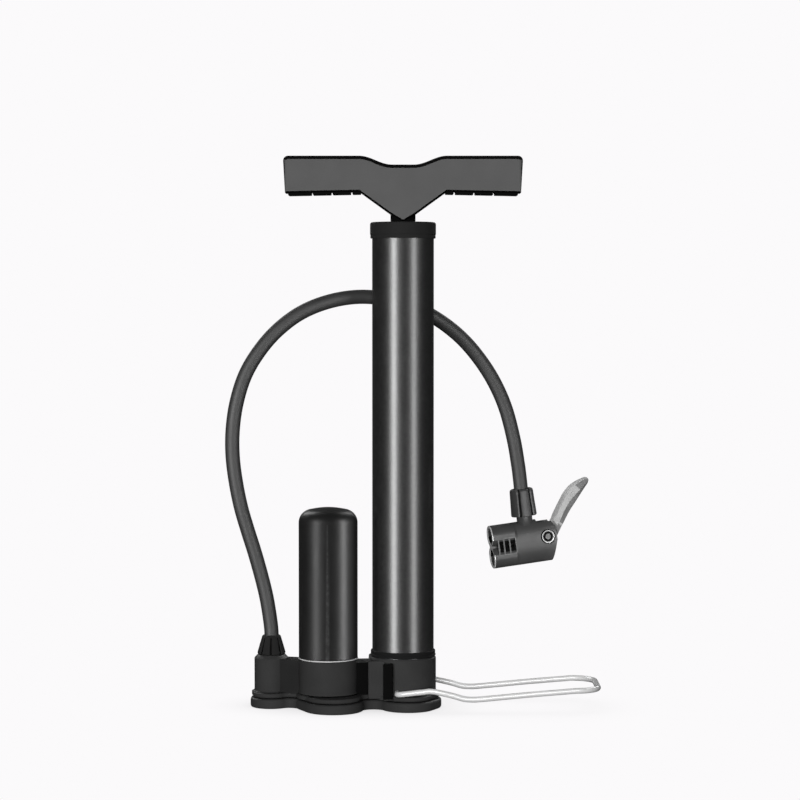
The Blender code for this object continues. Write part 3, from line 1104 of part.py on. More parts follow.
def main():
    clear_scene()
    black_tube = finish_material("barrel_paint", (0.020, 0.020, 0.021), 0.30, 0.0)
    tank_paint = finish_material("tank_paint", (0.018, 0.018, 0.019), 0.38, 0.0)
    plastic = finish_material("base_plastic", (0.040, 0.040, 0.041), 0.55)
    handle_plastic = finish_material("handle_plastic", (0.095, 0.095, 0.096), 0.50)
    rubber = finish_material("black_rubber", (0.025, 0.025, 0.026), 0.70)
    hose_rubber = finish_material("hose_rubber", (0.055, 0.055, 0.057), 0.62)
    steel = finish_material("steel", (0.60, 0.60, 0.60), 0.30, 1.0)
    bright = finish_material("bright_steel", (0.80, 0.80, 0.80), 0.18, 1.0)
    brass = finish_material("brass", (0.70, 0.52, 0.25), 0.35, 1.0)
    head_plastic = finish_material("head_plastic", (0.085, 0.085, 0.087), 0.38)
    lever_metal = finish_material("lever_alloy", (0.34, 0.34, 0.34), 0.40, 0.6)

    make_sole(plastic)
    make_housing(plastic)
    make_channel_cover(plastic)
    make_screws(steel)
    make_barrel(black_tube, rubber, plastic, brass)
    make_tank(tank_paint, rubber, bright)
    make_check_valve(bright, steel)
    handle_axis = empty("handle_axis", (0, 0, CAP_TOP))
    make_piston(rubber, plastic, steel, steel, handle_axis)
    make_handle(handle_plastic, plastic, steel, handle_axis)
    make_stirrup(bright)
    head = head_frame()
    make_hose(hose_rubber, plastic, brass, head)
    make_head_body(head_plastic, head)
    make_mouth_seals(rubber, head)
    make_yoke(steel, head)
    make_lever(lever_metal, head)


main()
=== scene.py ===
"""Looks of a floor pump with a reservoir, a folding stirrup, a hose and a twin valve head."""

import math

import bmesh
import bpy
from mathutils import Matrix, Vector


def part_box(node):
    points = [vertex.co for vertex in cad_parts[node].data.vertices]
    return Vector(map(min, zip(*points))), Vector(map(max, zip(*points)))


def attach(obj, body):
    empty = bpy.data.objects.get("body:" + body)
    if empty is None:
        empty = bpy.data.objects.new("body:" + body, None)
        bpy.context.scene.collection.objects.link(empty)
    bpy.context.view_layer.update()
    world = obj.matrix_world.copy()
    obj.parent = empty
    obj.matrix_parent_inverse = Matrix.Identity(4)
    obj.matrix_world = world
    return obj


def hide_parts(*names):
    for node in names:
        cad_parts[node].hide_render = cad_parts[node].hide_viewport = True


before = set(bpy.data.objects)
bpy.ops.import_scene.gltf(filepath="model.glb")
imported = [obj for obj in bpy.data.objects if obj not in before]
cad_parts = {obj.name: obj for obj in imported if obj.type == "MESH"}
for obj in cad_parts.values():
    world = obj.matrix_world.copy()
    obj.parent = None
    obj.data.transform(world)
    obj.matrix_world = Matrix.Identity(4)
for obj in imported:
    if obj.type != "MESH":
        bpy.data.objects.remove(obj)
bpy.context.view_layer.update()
MM = 0.001

# ---------------------------------------------------------------- camera
CAMERA_PLACE = Vector((-1.85, -1576.0, 259.0)) * MM
CAMERA_PITCH = math.radians(2.49)    # below level
camera_data = bpy.data.cameras.new("studio_camera")
camera_data.lens = 115.0
camera_data.sensor_width = 36.0
camera = bpy.data.objects.new("studio_camera", camera_data)
camera.location = CAMERA_PLACE
camera.rotation_euler = (math.pi / 2 - CAMERA_PITCH, 0, 0)
bpy.context.scene.collection.objects.link(camera)
bpy.context.scene.camera = camera


# ---------------------------------------------------------------- mesh tools
def place(x=0.0, y=0.0, z=0.0):
    return Matrix.Translation((x, y, z))


def columns(origin, x_axis, y_axis, z_axis):
    matrix = Matrix.Identity(4)
    for i, axis in enumerate((x_axis, y_axis, z_axis, origin)):
        matrix.col[i][:3] = axis
    return matrix


def piece_from(name, points, faces, matrix=None):
    """A mesh object from millimetre points; the object stays at the frame's origin."""
    mesh = bpy.data.meshes.new(name)
    matrix = matrix or Matrix.Identity(4)
    mesh.from_pydata([(matrix @ Vector(p)) * MM for p in points], [], faces)
    made = bpy.data.objects.new(name, mesh)
    bpy.context.scene.collection.objects.link(made)
    return made


def tidy(made, reach=1e-7):
    """Merges points closer than the reach, in metres, and turns the faces outwards."""
    work = bmesh.new()
    work.from_mesh(made.data)
    bmesh.ops.remove_doubles(work, verts=work.verts, dist=reach)
    bmesh.ops.dissolve_degenerate(work, edges=work.edges, dist=1e-8)
    bmesh.ops.recalc_face_normals(work, faces=work.faces)
    work.to_mesh(made.data)
    work.free()
    return made


def loft(name, rings, matrix=None, loop=False):
    """A closed solid through rings of equal length. With loop, the last ring meets the first."""
    size = len(rings[0])
    points = [p for ring in rings for p in ring]
    faces = []
    count = len(rings)
    for i in range(count if loop else count - 1):
        low = i * size
        high = ((i + 1) % count) * size
        for j in range(size):
            k = (j + 1) % size
            faces.append((low + j, low + k, high + k, high + j))
    if not loop:
        faces.append(tuple(range(size - 1, -1, -1)))
        faces.append(tuple(range((count - 1) * size, count * size)))
    return tidy(piece_from(name, points, faces, matrix))


def turned(name, profile, matrix=None, steps=96, loop=False):
    """A solid turned about local Z from (radius, height) points."""
    rings = []
    for radius, z in profile:
        radius = max(radius, 1e-4)
        rings.append([(radius * math.cos(2 * math.pi * i / steps),
                       radius * math.sin(2 * math.pi * i / steps), z) for i in range(steps)])
    return loft(name, rings, matrix, loop)


def extruded(name, outline, low, high, matrix=None):
    rings = [[(x, y, z) for x, y in outline] for z in (low, high)]
    return loft(name, rings, matrix)


def block(name, low, high, matrix=None):
    outline = [(low[0], low[1]), (high[0], low[1]), (high[0], high[1]), (low[0], high[1])]
    return extruded(name, outline, low[2], high[2], matrix)


def apply_all(made):
    """Replaces the mesh by its result with all modifiers."""
    bpy.context.view_layer.update()
    graph = bpy.context.evaluated_depsgraph_get()
    result = bpy.data.meshes.new_from_object(made.evaluated_get(graph))
    made.modifiers.clear()
    made.data = result
    return made


def rounded(made, width, segments=4, angle=30.0):
    bevel = made.modifiers.new("rounding", "BEVEL")
    bevel.width = width * MM
    bevel.segments = segments
    bevel.limit_method = "ANGLE"
    bevel.angle_limit = math.radians(angle)
    bevel.use_clamp_overlap = True
    return apply_all(made)


def combine(made, tools, operation):
    """One boolean of a piece with several tools, which are used up."""
    group = bpy.data.collections.new(made.name + "_tools")
    bpy.context.scene.collection.children.link(group)
    for tool in tools:
        bpy.context.scene.collection.objects.unlink(tool)
        group.objects.link(tool)
    step = made.modifiers.new(operation, "BOOLEAN")
    step.operation = operation
    step.solver = "EXACT"
    step.operand_type = "COLLECTION"
    step.collection = group
    apply_all(made)
    for tool in tools:
        bpy.data.objects.remove(tool)
    bpy.data.collections.remove(group)
    return made


def cut(made, *tools):
    return combine(made, tools, "DIFFERENCE")


def arc(centre, radius, start, end, steps):
    turns = [math.radians(start + (end - start) * i / steps) for i in range(steps + 1)]
    return [(centre[0] + radius * math.cos(t), centre[1] + radius * math.sin(t)) for t in turns]


def smooth_route(points, count):
    """Evenly spaced points on the Catmull-Rom curve through the given points."""
    ends = [points[0] * 2 - points[1], *points, points[-1] * 2 - points[-2]]
    fine = []
    for i in range(len(points) - 1):
        a, b, c, d = ends[i:i + 4]
        for step in range(16):
            t = step / 16
            fine.append(0.5 * (2 * b + (c - a) * t + (2 * a - 5 * b + 4 * c - d) * t ** 2
                               + (3 * b - a - 3 * c + d) * t ** 3))
    fine.append(points[-1])
    reach = [0.0]
    for before, after in zip(fine, fine[1:]):
        reach.append(reach[-1] + (after - before).length)
    even = []
    seek = 0
    for i in range(count):
        goal = reach[-1] * i / (count - 1)
        while seek < len(fine) - 2 and reach[seek + 1] < goal:
            seek += 1
        share = (goal - reach[seek]) / (reach[seek + 1] - reach[seek])
        even.append(fine[seek].lerp(fine[seek + 1], share))
    return even


def swept(name, route, radii, sides=40):
    """A round bar along a route, with one radius for each point of the route."""
    rings = []
    ahead = (route[1] - route[0]).normalized()
    side = ahead.orthogonal().normalized()
    for i, point in enumerate(route):
        before = route[max(i - 1, 0)]
        after = route[min(i + 1, len(route) - 1)]
        turn = ahead.rotation_difference((after - before).normalized())
        side = turn @ side
        ahead = (after - before).normalized()
        side = (side - ahead * side.dot(ahead)).normalized()
        up = ahead.cross(side)
        rings.append([point + (side * math.cos(2 * math.pi * j / sides)
                               + up * math.sin(2 * math.pi * j / sides)) * radii[i]
                      for j in range(sides)])
    return loft(name, rings)


# ---------------------------------------------------------------- materials
MATERIALS = {}


def finish_of(name, colour, tint, roughness, metallic=0.0, grain=2600.0, grain_depth=0.02,
              patches=60.0, spread=0.06, worn=None, wear=0.0, coat=0.0, lines=None, specular=0.5):
    """A finish with colour patches, fine grain in roughness and bump, and worn edges."""
    material = bpy.data.materials.new(name)
    material.use_nodes = True
    nodes = material.node_tree.nodes
    links = material.node_tree.links
    shader = nodes["Principled BSDF"]
    shader.inputs["Metallic"].default_value = metallic
    shader.inputs["Specular IOR Level"].default_value = specular
    shader.inputs["Coat Weight"].default_value = coat
    shader.inputs["Coat Roughness"].default_value = 0.25

    where = nodes.new("ShaderNodeTexCoord")

    def noise(scale, detail, stretch=None):
        texture = nodes.new("ShaderNodeTexNoise")
        texture.inputs["Scale"].default_value = scale
        texture.inputs["Detail"].default_value = detail
        source = where.outputs["Object"]
        if stretch:
            mapping = nodes.new("ShaderNodeMapping")
            mapping.inputs["Scale"].default_value = stretch
            links.new(source, mapping.inputs["Vector"])
            source = mapping.outputs["Vector"]
        links.new(source, texture.inputs["Vector"])
        return texture.outputs["Fac"]

    def ranged(value, low, high, new_low, new_high):
        node = nodes.new("ShaderNodeMapRange")
        node.inputs["From Min"].default_value = low
        node.inputs["From Max"].default_value = high
        node.inputs["To Min"].default_value = new_low
        node.inputs["To Max"].default_value = new_high
        links.new(value, node.inputs["Value"])
        return node.outputs["Result"]

    def mixed(share, first, second):
        node = nodes.new("ShaderNodeMix")
        node.data_type = "RGBA"
        links.new(share, node.inputs["Factor"])
        for socket, value in (("A", first), ("B", second)):
            target = [i for i in node.inputs if i.name == socket and i.type == "RGBA"][0]
            if isinstance(value, tuple):
                target.default_value = (*value, 1.0)
            else:
                links.new(value, target)
        return [o for o in node.outputs if o.type == "RGBA"][0]

    def times(first, second):
        node = nodes.new("ShaderNodeMath")
        node.operation = "MULTIPLY"
        links.new(first, node.inputs[0])
        if isinstance(second, float):
            node.inputs[1].default_value = second
        else:
            links.new(second, node.inputs[1])
        return node.outputs[0]

    def plus(first, second):
        node = nodes.new("ShaderNodeMath")
        node.operation = "ADD"
        links.new(first, node.inputs[0])
        links.new(second, node.inputs[1])
        return node.outputs[0]

    broad = noise(patches, 3.0)
    fine = noise(grain, 2.0, lines)
    base = mixed(ranged(broad, 0.3, 0.7, 0.0, 1.0), colour, tint)
    rough = plus(ranged(fine, 0.25, 0.75, roughness - spread, roughness + spread),
                 ranged(broad, 0.3, 0.7, -spread / 2, spread / 2))
    if worn:
        edges = nodes.new("ShaderNodeNewGeometry").outputs["Pointiness"]
        patchy = ranged(noise(420.0, 3.0), 0.35, 0.65, 0.35, 1.0)
        share = times(times(ranged(edges, 0.54, 0.62, 0.0, 1.0), patchy), wear)
        base = mixed(share, base, worn)
    links.new(base, shader.inputs["Base Color"])
    links.new(rough, shader.inputs["Roughness"])
    bump = nodes.new("ShaderNodeBump")
    bump.inputs["Strength"].default_value = 0.6
    bump.inputs["Distance"].default_value = grain_depth * MM
    links.new(fine, bump.inputs["Height"])
    links.new(bump.outputs["Normal"], shader.inputs["Normal"])
    MATERIALS[name] = material
    return material


def grey(level):
    """A neutral linear colour from a display level between 0 and 255."""
    share = level / 255.0
    linear = share / 12.92 if share <= 0.04045 else ((share + 0.055) / 1.055) ** 2.4
    return (linear, linear, linear)


finish_of("base_plastic", grey(58), grey(64), 0.52, worn=grey(105), wear=0.4, grain_depth=0.03)
finish_of("handle_plastic", grey(98), grey(103), 0.55, worn=grey(150), wear=0.35, grain_depth=0.02)
finish_of("barrel_paint", grey(24), grey(28), 0.34, grain=900.0, grain_depth=0.012, spread=0.03,
          worn=grey(110), wear=0.3, coat=0.25)
finish_of("tank_paint", grey(26), grey(30), 0.42, grain=1100.0, grain_depth=0.014, spread=0.04,
          worn=grey(110), wear=0.3)
finish_of("hose_rubber", grey(46), grey(52), 0.6, grain=1800.0, grain_depth=0.03, spread=0.05)
finish_of("seal_rubber", grey(30), grey(35), 0.75, grain=2200.0, grain_depth=0.03)
finish_of("head_plastic", grey(56), grey(61), 0.42, worn=grey(170), wear=0.35, grain_depth=0.02)
finish_of("lever_alloy", grey(146), grey(154), 0.5, metallic=0.1, grain=900.0, worn=grey(190),
          wear=0.04, grain_depth=0.002)
# a lighter copy of the lever's grey, painted on the lever's facets that face the light
finish_of("lever_lit_side", grey(212), grey(218), 0.5, metallic=0.1, grain=900.0, worn=grey(225),
          wear=0.04, grain_depth=0.002)
finish_of("bright_steel", grey(232), grey(240), 0.3, metallic=0.25, grain=700.0,
          grain_depth=0.006, lines=(0.08, 1.0, 1.0), spread=0.06)
finish_of("polished_steel", grey(190), grey(200), 0.24, metallic=1.0, grain=700.0,
          grain_depth=0.004, lines=(1.0, 1.0, 0.08), spread=0.05)
finish_of("plain_steel", grey(150), grey(160), 0.38, metallic=1.0, grain_depth=0.01)
finish_of("brass", (0.55, 0.38, 0.16), (0.60, 0.43, 0.20), 0.34, metallic=1.0, grain_depth=0.01)
# bright, shiny grey painted as a highlight on the mouths' end faces and on the pin's ring
finish_of("painted_highlight_rim", grey(205), grey(215), 0.35, metallic=0.3, grain_depth=0.01)
# dark plastic of the cap and the base nut; on the base's outer web it is painted shade
finish_of("dark_plastic_and_painted_shade", grey(42), grey(47), 0.6, worn=grey(80), wear=0.3, grain_depth=0.03,
          specular=0.3)
# near-black: the grip strips' own colour; elsewhere it is painted shade in hollows, grooves and on
# edges turned away from the lights
finish_of("black_and_painted_shade", grey(14), grey(18), 0.7, grain_depth=0.02, specular=0.12)


def finished(made, material, body, nodes=(), angle=32.0):
    """Shades a piece, gives it its finish and hangs it on its body."""
    made.data.materials.clear()
    made.data.materials.append(MATERIALS[material])
    for face in made.data.polygons:
        face.use_smooth = True
    made.data.set_sharp_from_angle(angle=math.radians(angle))
    weighted = made.modifiers.new("normals", "WEIGHTED_NORMAL")
    weighted.keep_sharp = True
    weighted.weight = 60
    apply_all(made)
    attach(made, body)
    if nodes:
        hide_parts(*nodes)
    return made


def touched_up(made, material, belongs):
    """Gives another finish to the faces that belong, judged by centre (mm) and normal; also used to
    paint shade and highlights onto faces.
    """
    made.data.materials.append(MATERIALS[material])
    number = len(made.data.materials) - 1
    for face in made.data.polygons:
        if belongs(face.center / MM, face.normal):
            face.material_index = number
    return made


# ---------------------------------------------------------------- sizes, in millimetres
TANK_AXIS = (-46.2, -4.0)
OUTLET_AXIS = (-81.85, 6.79)
BARREL_RADIUS = 19.0
BARREL_BORE = 17.6
BARREL_ENDS = (26.3, 297.7)
CAP_TOP = 300.0
TANK_RADIUS = 18.2
TANK_TOP = 124.5
TANK_SHOULDER = 8.3                  # rounding of the reservoir's shoulder
TANK_DOME = 1.2                      # from the shoulder up to the top
BARREL_TOWER = 20.4                  # radii of the base's three towers
TANK_TOWER = 18.3
OUTLET_TOWER = 10.6
OUTLET_LOBE = 12.8                   # the sole's lobes: radii, and places of their noses
OUTLET_NOSE = 4.3
TANK_LOBE = 20.0
TANK_NOSE_RADIUS = 18.6
TANK_NOSE = (3.5, 10.7)
BARREL_NOSE_RADIUS = 17.2
BARREL_NOSE = (3.0, 8.0)
BARREL_LOBE = 21.2
BARREL_LOBE_X = 2.6
WEB_HALF = 7.0
RIB_X = (-12.15, -6.15)              # the ribs that hold the stirrup
RIB_REACH = 23.9
PIVOT_X = -3.5                       # the stirrup's hinge
PIVOT_Z = 11.4
WIRE = 1.75
WIRE_ROOM = 2.05
GRIP_TOP = 340.3
GRIP_END = 73.3
GRIP_ROUND = 3.0                     # top corners of the grip
GRIP_HALF = 12.0
GRIP_DRAWN = 2.4                     # how far its rounding reaches in from front and back
GRIP_FACE = 0.9                      # rounding below
GRIP_CROWN = 2.9                     # rounding above
DIP = 5.4
DIP_EDGES = (27.0, 6.6)
WING_KNEE = (26.8, 318.6)
WING_END = (72.2, 317.7)
NECK_RADIUS = 7.7
ROD_ROOM = 4.3
STRIP_ENDS = (25.9, 70.3)            # the strips under the grip
STRIP_TOP = 320.7
STRIP_DEPTH = 1.6
STRIP_HALF = 9.0
NOTCHES = (31.5, 43.6, 55.7)
NOTCH_HALF = 0.5
HOSE_YAW = math.radians(12.7)
HOSE_RADIUS = 4.45
HEAD_TILT = math.radians(7.0)
HEAD_ALONG = 164.87
HEAD_HEIGHT = 98.3
TUBE = 6.85                          # outer radius of each of the head's two tubes
VALLEY = 3.0                         # half thickness left between them
MOUTH = 5.4
SLOTS = ((-25.0, -20.8), (-19.9, -17.3), (-16.4, -13.6), (-12.7, -9.3))
PIN_PLACE = (12.3, 2.4)
PIN_BORE = 2.05
PIN_RECESS = 4.8
LEVER_ROOT_HALF = 3.65
CAM_HALF = 3.8
CAM_RADIUS = 3.6
CAM_OFFSET = 0.9
BASE_NUT_GROOVES = 8
HEAD_NUT_GROOVES = 6
GROOVE_FROM = 0.8                    # share of a nut's flat where its groove begins
NUT_BORE = 4.6
NUT_INSIDE = 5.5                     # faces nearer the axis than this are not on the outside


def hose_point(along, up):
    return Vector((OUTLET_AXIS[0] + along * math.cos(HOSE_YAW),
                   OUTLET_AXIS[1] + along * math.sin(HOSE_YAW), up))


# ---------------------------------------------------------------- hose
HOSE_ROUTE = (
    (0, 36), (0, 46), (-1.3, 57), (-3.4, 69), (-6.6, 82), (-10.4, 95.5), (-14.8, 109.5),
    (-19.0, 124), (-22.2, 140), (-24.1, 156), (-24.0, 172), (-21.6, 188.5), (-16.4, 205),
    (-8.1, 219.3), (3.5, 232.7), (18.4, 243.8), (35.9, 250.9), (54.9, 254.0), (73.9, 252.6),
    (90.9, 247.6), (106, 240), (120.6, 229), (132.7, 215.7), (142.8, 200.5), (150.5, 183.5),
    (155.8, 164), (158.6, 148.5), (159.83, 139.7), (161.13, 128.1))
route = smooth_route([hose_point(along, up) for along, up in HOSE_ROUTE], 260)
hose = swept("hose_tube", route, [HOSE_RADIUS] * len(route))
finished(hose, "hose_rubber", "base", ("hose",))

# ---------------------------------------------------------------- barrel, collar and cap
foot, end = BARREL_ENDS
barrel = turned("barrel_shell", [(BARREL_BORE, foot), (BARREL_RADIUS - 0.3, foot),
                                 (BARREL_RADIUS, foot + 0.3), (BARREL_RADIUS, end - 0.4),
                                 (BARREL_RADIUS - 0.3, end), (BARREL_BORE, end)],
                steps=160, loop=True)
finished(barrel, "barrel_paint", "base", ("barrel_tube",))

collar = turned("barrel_collar_ring", [(19.3, 32.3), (20.0, 32.3), (20.25, 32.7), (20.1, 33.5),
                                       (19.75, 33.9), (19.95, 34.3), (20.0, 35.2), (19.75, 35.8),
                                       (19.3, 36.0)], steps=160, loop=True)
finished(collar, "seal_rubber", "base", ("barrel_collar",))

cap = turned("barrel_cap", [(19.3, 290.0), (19.9, 290.0), (20.1, 290.25), (20.05, 292.2),
                            (20.3, 292.5), (20.3, 298.6), (20.05, 299.4), (19.5, 299.85),
                            (18.6, CAP_TOP), (9.6, CAP_TOP), (9.3, 299.7), (9.3, 298.0),
                            (19.3, 298.0)],
             steps=160, loop=True)
finished(cap, "dark_plastic_and_painted_shade", "base", ("top_cap",))
bush = turned("rod_bush_ring", [(ROD_ROOM, 293.0), (6.0, 293.0), (6.0, 297.7), (9.0, 297.7),
                                (9.0, 299.6), (8.7, 299.9), (4.8, 299.9), (ROD_ROOM, 299.4)],
              steps=96, loop=True)
finished(bush, "brass", "base", ("rod_bush",))

# ---------------------------------------------------------------- reservoir
shoulder = arc((TANK_RADIUS - TANK_SHOULDER, TANK_TOP - TANK_DOME - TANK_SHOULDER), TANK_SHOULDER,
               0, 85, 17)
crown_edge = shoulder[-1]
crown = [(crown_edge[0] * (1 - i / 8), TANK_TOP - (TANK_TOP - crown_edge[1]) * (1 - i / 8) ** 2)
         for i in range(1, 9)]
tank_place = place(*TANK_AXIS, 0)
tank = turned("reservoir_shell", [(0, 20.6), (15.0, 20.6), (15.0, 31.7), (18.0, 31.7),
                                  (TANK_RADIUS, 31.9)]
              + shoulder + crown, tank_place, 160)
finished(tank, "tank_paint", "base", ("tank_shell",))
ring = turned("reservoir_ring", [(15.3, 30.8), (18.35, 30.8), (18.5, 30.95), (18.5, 31.25),
                                 (18.35, 31.4), (15.3, 31.4)], tank_place, 128, loop=True)
finished(ring, "bright_steel", "base", ("tank_ring",))


# ---------------------------------------------------------------- base
def joined_outline(discs, waists, inset, steps):
    """Outline around a chain of discs, counterclockwise. Neighbours are joined by a straight
    tangent where the waist is None, or else by a hollow of at least the waist's radius."""
    ends = []
    hollows = []
    for (centre, radius), (after, after_radius), waist in zip(discs, discs[1:] + discs[:1], waists):
        line = Vector(after) - Vector(centre)
        ahead = line.normalized()
        outward = Vector((ahead.y, -ahead.x))
        near = radius - inset
        far = after_radius - inset
        if waist is None:
            lean = (near - far) / line.length
            normal = outward * math.sqrt(1 - lean ** 2) + ahead * lean
            ends.append((math.atan2(normal.y, normal.x),) * 2)
            hollows.append(None)
            continue
        gap = line.length - radius - after_radius
        hollow = max(waist, gap / 2 + 1.0) + inset
        along = (line.length_squared + (near + hollow) ** 2 - (far + hollow) ** 2) / (2 * line.length)
        across = math.sqrt((near + hollow) ** 2 - along ** 2)
        middle = Vector(centre) + ahead * along + outward * across
        leave = middle - Vector(centre)
        meet = middle - Vector(after)
        ends.append((math.atan2(leave.y, leave.x), math.atan2(meet.y, meet.x)))
        hollows.append((middle, hollow))
    points = []
    for i, (centre, radius) in enumerate(discs):
        start = ends[i - 1][1]
        stop = ends[i][0]
        while stop < start:
            stop += 2 * math.pi
        count = max(2, round(steps * (stop - start) / (2 * math.pi)))
        points += arc(centre, radius - inset, math.degrees(start), math.degrees(stop), count)
        if hollows[i]:
            middle, hollow = hollows[i]
            start = ends[i][0] + math.pi
            stop = ends[i][1] + math.pi
            while stop > start:
                stop -= 2 * math.pi
            points += arc(middle, hollow, math.degrees(start), math.degrees(stop), 20)[1:-1]
    return points


def base_outline(inset):
    """Three lobes joined by hollow waists, drawn in by the inset."""
    x, y = TANK_AXIS
    discs = [(OUTLET_AXIS, OUTLET_LOBE),
             ((OUTLET_AXIS[0], OUTLET_AXIS[1] - OUTLET_NOSE), OUTLET_LOBE),
             (TANK_AXIS, TANK_LOBE),
             ((x + TANK_NOSE[0], y - TANK_NOSE[1]), TANK_NOSE_RADIUS),
             ((BARREL_NOSE[0], -BARREL_NOSE[1]), BARREL_NOSE_RADIUS),
             ((BARREL_LOBE_X, 0.0), BARREL_LOBE),
             ((BARREL_NOSE[0], BARREL_NOSE[1]), BARREL_NOSE_RADIUS),
             ((x + TANK_NOSE[0], y + TANK_NOSE[1]), TANK_NOSE_RADIUS)]
    waists = [None, 5.0, None, 6.0, None, None, 6.0, 8.0]
    return joined_outline(discs, waists, inset, 176)


def moulded_plate(name, profile):
    """A plate over the base outline, with its rim shaped by (height, inset) pairs."""
    return loft(name, [[(x, y, z) for x, y in base_outline(inset)] for z, inset in profile])


SCREWS = ("sole_screw_barrel_front", "sole_screw_barrel_rear", "sole_screw_tank_front",
          "sole_screw_tank_rear")
sole = moulded_plate("base_foot", [(0.0, 1.1), (0.25, 0.5), (0.8, 0.12), (1.6, 0.0), (4.3, 0.0),
                                   (5.0, 0.15), (5.5, 0.5), (5.85, 1.0), (6.0, 1.7)])
rooms = []
for screw in SCREWS:
    low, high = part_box(screw)
    x, y = (low.x + high.x) / 2 / MM, (low.y + high.y) / 2 / MM
    rooms.append(turned(screw + "_room", [(0, -1), (3.9, -1), (3.6, 0.35), (3.6, 3.3), (1.8, 3.3),
                                          (1.8, 7), (0, 7)], place(x, y, 0), 40))
cut(sole, *rooms)
finished(sole, "base_plastic", "base", ("base_sole",))

housing = moulded_plate("base_body", [(6.3, 3.0), (6.45, 2.3), (6.8, 1.8), (7.3, 1.55), (8.1, 1.5),
                                      (8.7, 1.65), (9.1, 2.0), (9.3, 2.6)])


def tower(name, axis, radius, top, chamfer, foot=1.6):
    """A round tower that flares into the plate and has a softened top edge."""
    profile = [(0, 7.0), (radius + foot, 7.0), (radius + foot, 9.0)]
    profile += [(radius + foot - foot * math.sin(t), 9.2 + foot - foot * math.cos(t))
                for t in (math.radians(a) for a in range(0, 91, 18))]
    profile += [(radius, top - chamfer - 0.4), (radius - 0.12, top - chamfer),
                (radius - chamfer + 0.12, top - 0.15), (radius - chamfer - 0.3, top), (0, top)]
    return turned(name, profile, place(*axis, 0), 144)


def wall(name, start, end, half, top):
    line = Vector(end) - Vector(start)
    turn = Matrix.Rotation(math.atan2(line.y, line.x), 4, "Z")
    made = block(name, (0, -half, 7.0), (line.length, half, top), place(*start, 0) @ turn)
    return rounded(made, 0.5, 3)


barrel_tower = tower("barrel_tower", (0, 0), BARREL_TOWER, 32.0, 0.8)
pivot_turn = columns((PIVOT_X, 0, PIVOT_Z), (1, 0, 0), (0, 0, 1), (0, -1, 0))
parts = [barrel_tower,
         tower("tank_tower", TANK_AXIS, TANK_TOWER, 30.5, 0.4),
         tower("outlet_tower", OUTLET_AXIS, OUTLET_TOWER, 32.0, 2.0),
         wall("web_inner", (0, 0), TANK_AXIS, WEB_HALF, 29.5),
         wall("web_outer", TANK_AXIS, OUTLET_AXIS, WEB_HALF, 29.8)]
cheeks = rounded(block("cheeks", (-21.4, -17.0, 7.3), (-11.3, 17.0, 30.8)), 0.9, 4)
ribs = rounded(block("ribs", (RIB_X[0], -RIB_REACH, 7.3), (RIB_X[1], RIB_REACH, 30.0)), 0.9, 4)
parts += [cheeks, ribs]
combine(housing, parts, "UNION")
cut(housing,
    turned("barrel_room", [(0, 24), (19.3, 24), (19.3, 40), (0, 40)], steps=144),
    turned("tank_room", [(0, 18), (15.6, 18), (15.6, 40), (0, 40)], tank_place, 144),
    turned("outlet_room", [(0, 20), (4.8, 20), (4.8, 40), (0, 40)], place(*OUTLET_AXIS, 0), 48),
    turned("wire_room_front",
           [(0, 13.4), (WIRE_ROOM, 13.4), (WIRE_ROOM, 26), (0, 26)], pivot_turn, 32),
    turned("wire_room_rear",
           [(0, -26), (WIRE_ROOM, -26), (WIRE_ROOM, -13.4), (0, -13.4)], pivot_turn, 32))
finished(housing, "base_plastic", "base", ("base_housing",))


def in_shade(point, normal):
    """Painted shade: the stirrup's ribs and the web between the barrel's tower and the reservoir's,
    darkened where the towers keep the lights off them.
    """
    ribs_side = (RIB_X[0] - 0.05 < point.x < RIB_X[1] + 0.05 and abs(point.y) > BARREL_TOWER
                 and point.z > 9.5)
    clear = all(math.hypot(point.x - x, point.y - y) > radius + 0.25
                for (x, y), radius in (((0, 0), BARREL_TOWER), (TANK_AXIS, TANK_TOWER),
                                       (OUTLET_AXIS, OUTLET_TOWER)))
    web_side = clear and -64 < point.x < -21.6 and 9.4 < point.z < 29.0
    return ribs_side or web_side


def on_outer_web(point, normal):
    """Painted shade: the web between the reservoir's tower and the outlet's, darkened where the
    towers keep the lights off it.
    """
    clear = all(math.hypot(point.x - x, point.y - y) > radius + 0.25
                for (x, y), radius in ((TANK_AXIS, TANK_TOWER), (OUTLET_AXIS, OUTLET_TOWER)))
    return clear and -77 < point.x < -64 and point.z > 9.4


# painted shade: the ribs and the inner web get the near-black finish
touched_up(housing, "black_and_painted_shade", in_shade)
# painted shade: the outer web gets the darker plastic of the cap
touched_up(housing, "dark_plastic_and_painted_shade", on_outer_web)

# ---------------------------------------------------------------- handle
half = [(0.0, 300.5, 0.6), (NECK_RADIUS, 304.8, GRIP_FACE), (*WING_KNEE, GRIP_FACE),
        (*WING_END, GRIP_FACE)]
half += [(x, z, GRIP_CROWN) for x, z in arc((GRIP_END - GRIP_ROUND, GRIP_TOP - GRIP_ROUND),
                                            GRIP_ROUND, 0, 90, 8)]
for i in range(19):
    share = i / 18
    half.append((DIP_EDGES[0] + (DIP_EDGES[1] - DIP_EDGES[0]) * share,
                 GRIP_TOP - DIP * (1 - math.cos(math.pi * share)) / 2, GRIP_CROWN))
outline = half + [(-x, z, inset) for x, z, inset in reversed(half) if x > 0]


def drawn_in(points, share):
    """The outline moved inwards by a share of each point's own rounding."""
    moved = []
    for i, (x, z, inset) in enumerate(points):
        before = Vector(points[i - 1][:2])
        here = Vector((x, z))
        after = Vector(points[(i + 1) % len(points)][:2])
        first = (here - before).normalized()
        second = (after - here).normalized()
        mitre = Vector((-(first.y + second.y), first.x + second.x)).normalized()
        lean = max(0.4, mitre.dot(Vector((-second.y, second.x))))
        moved.append(here + mitre * (inset * share / lean))
    return moved


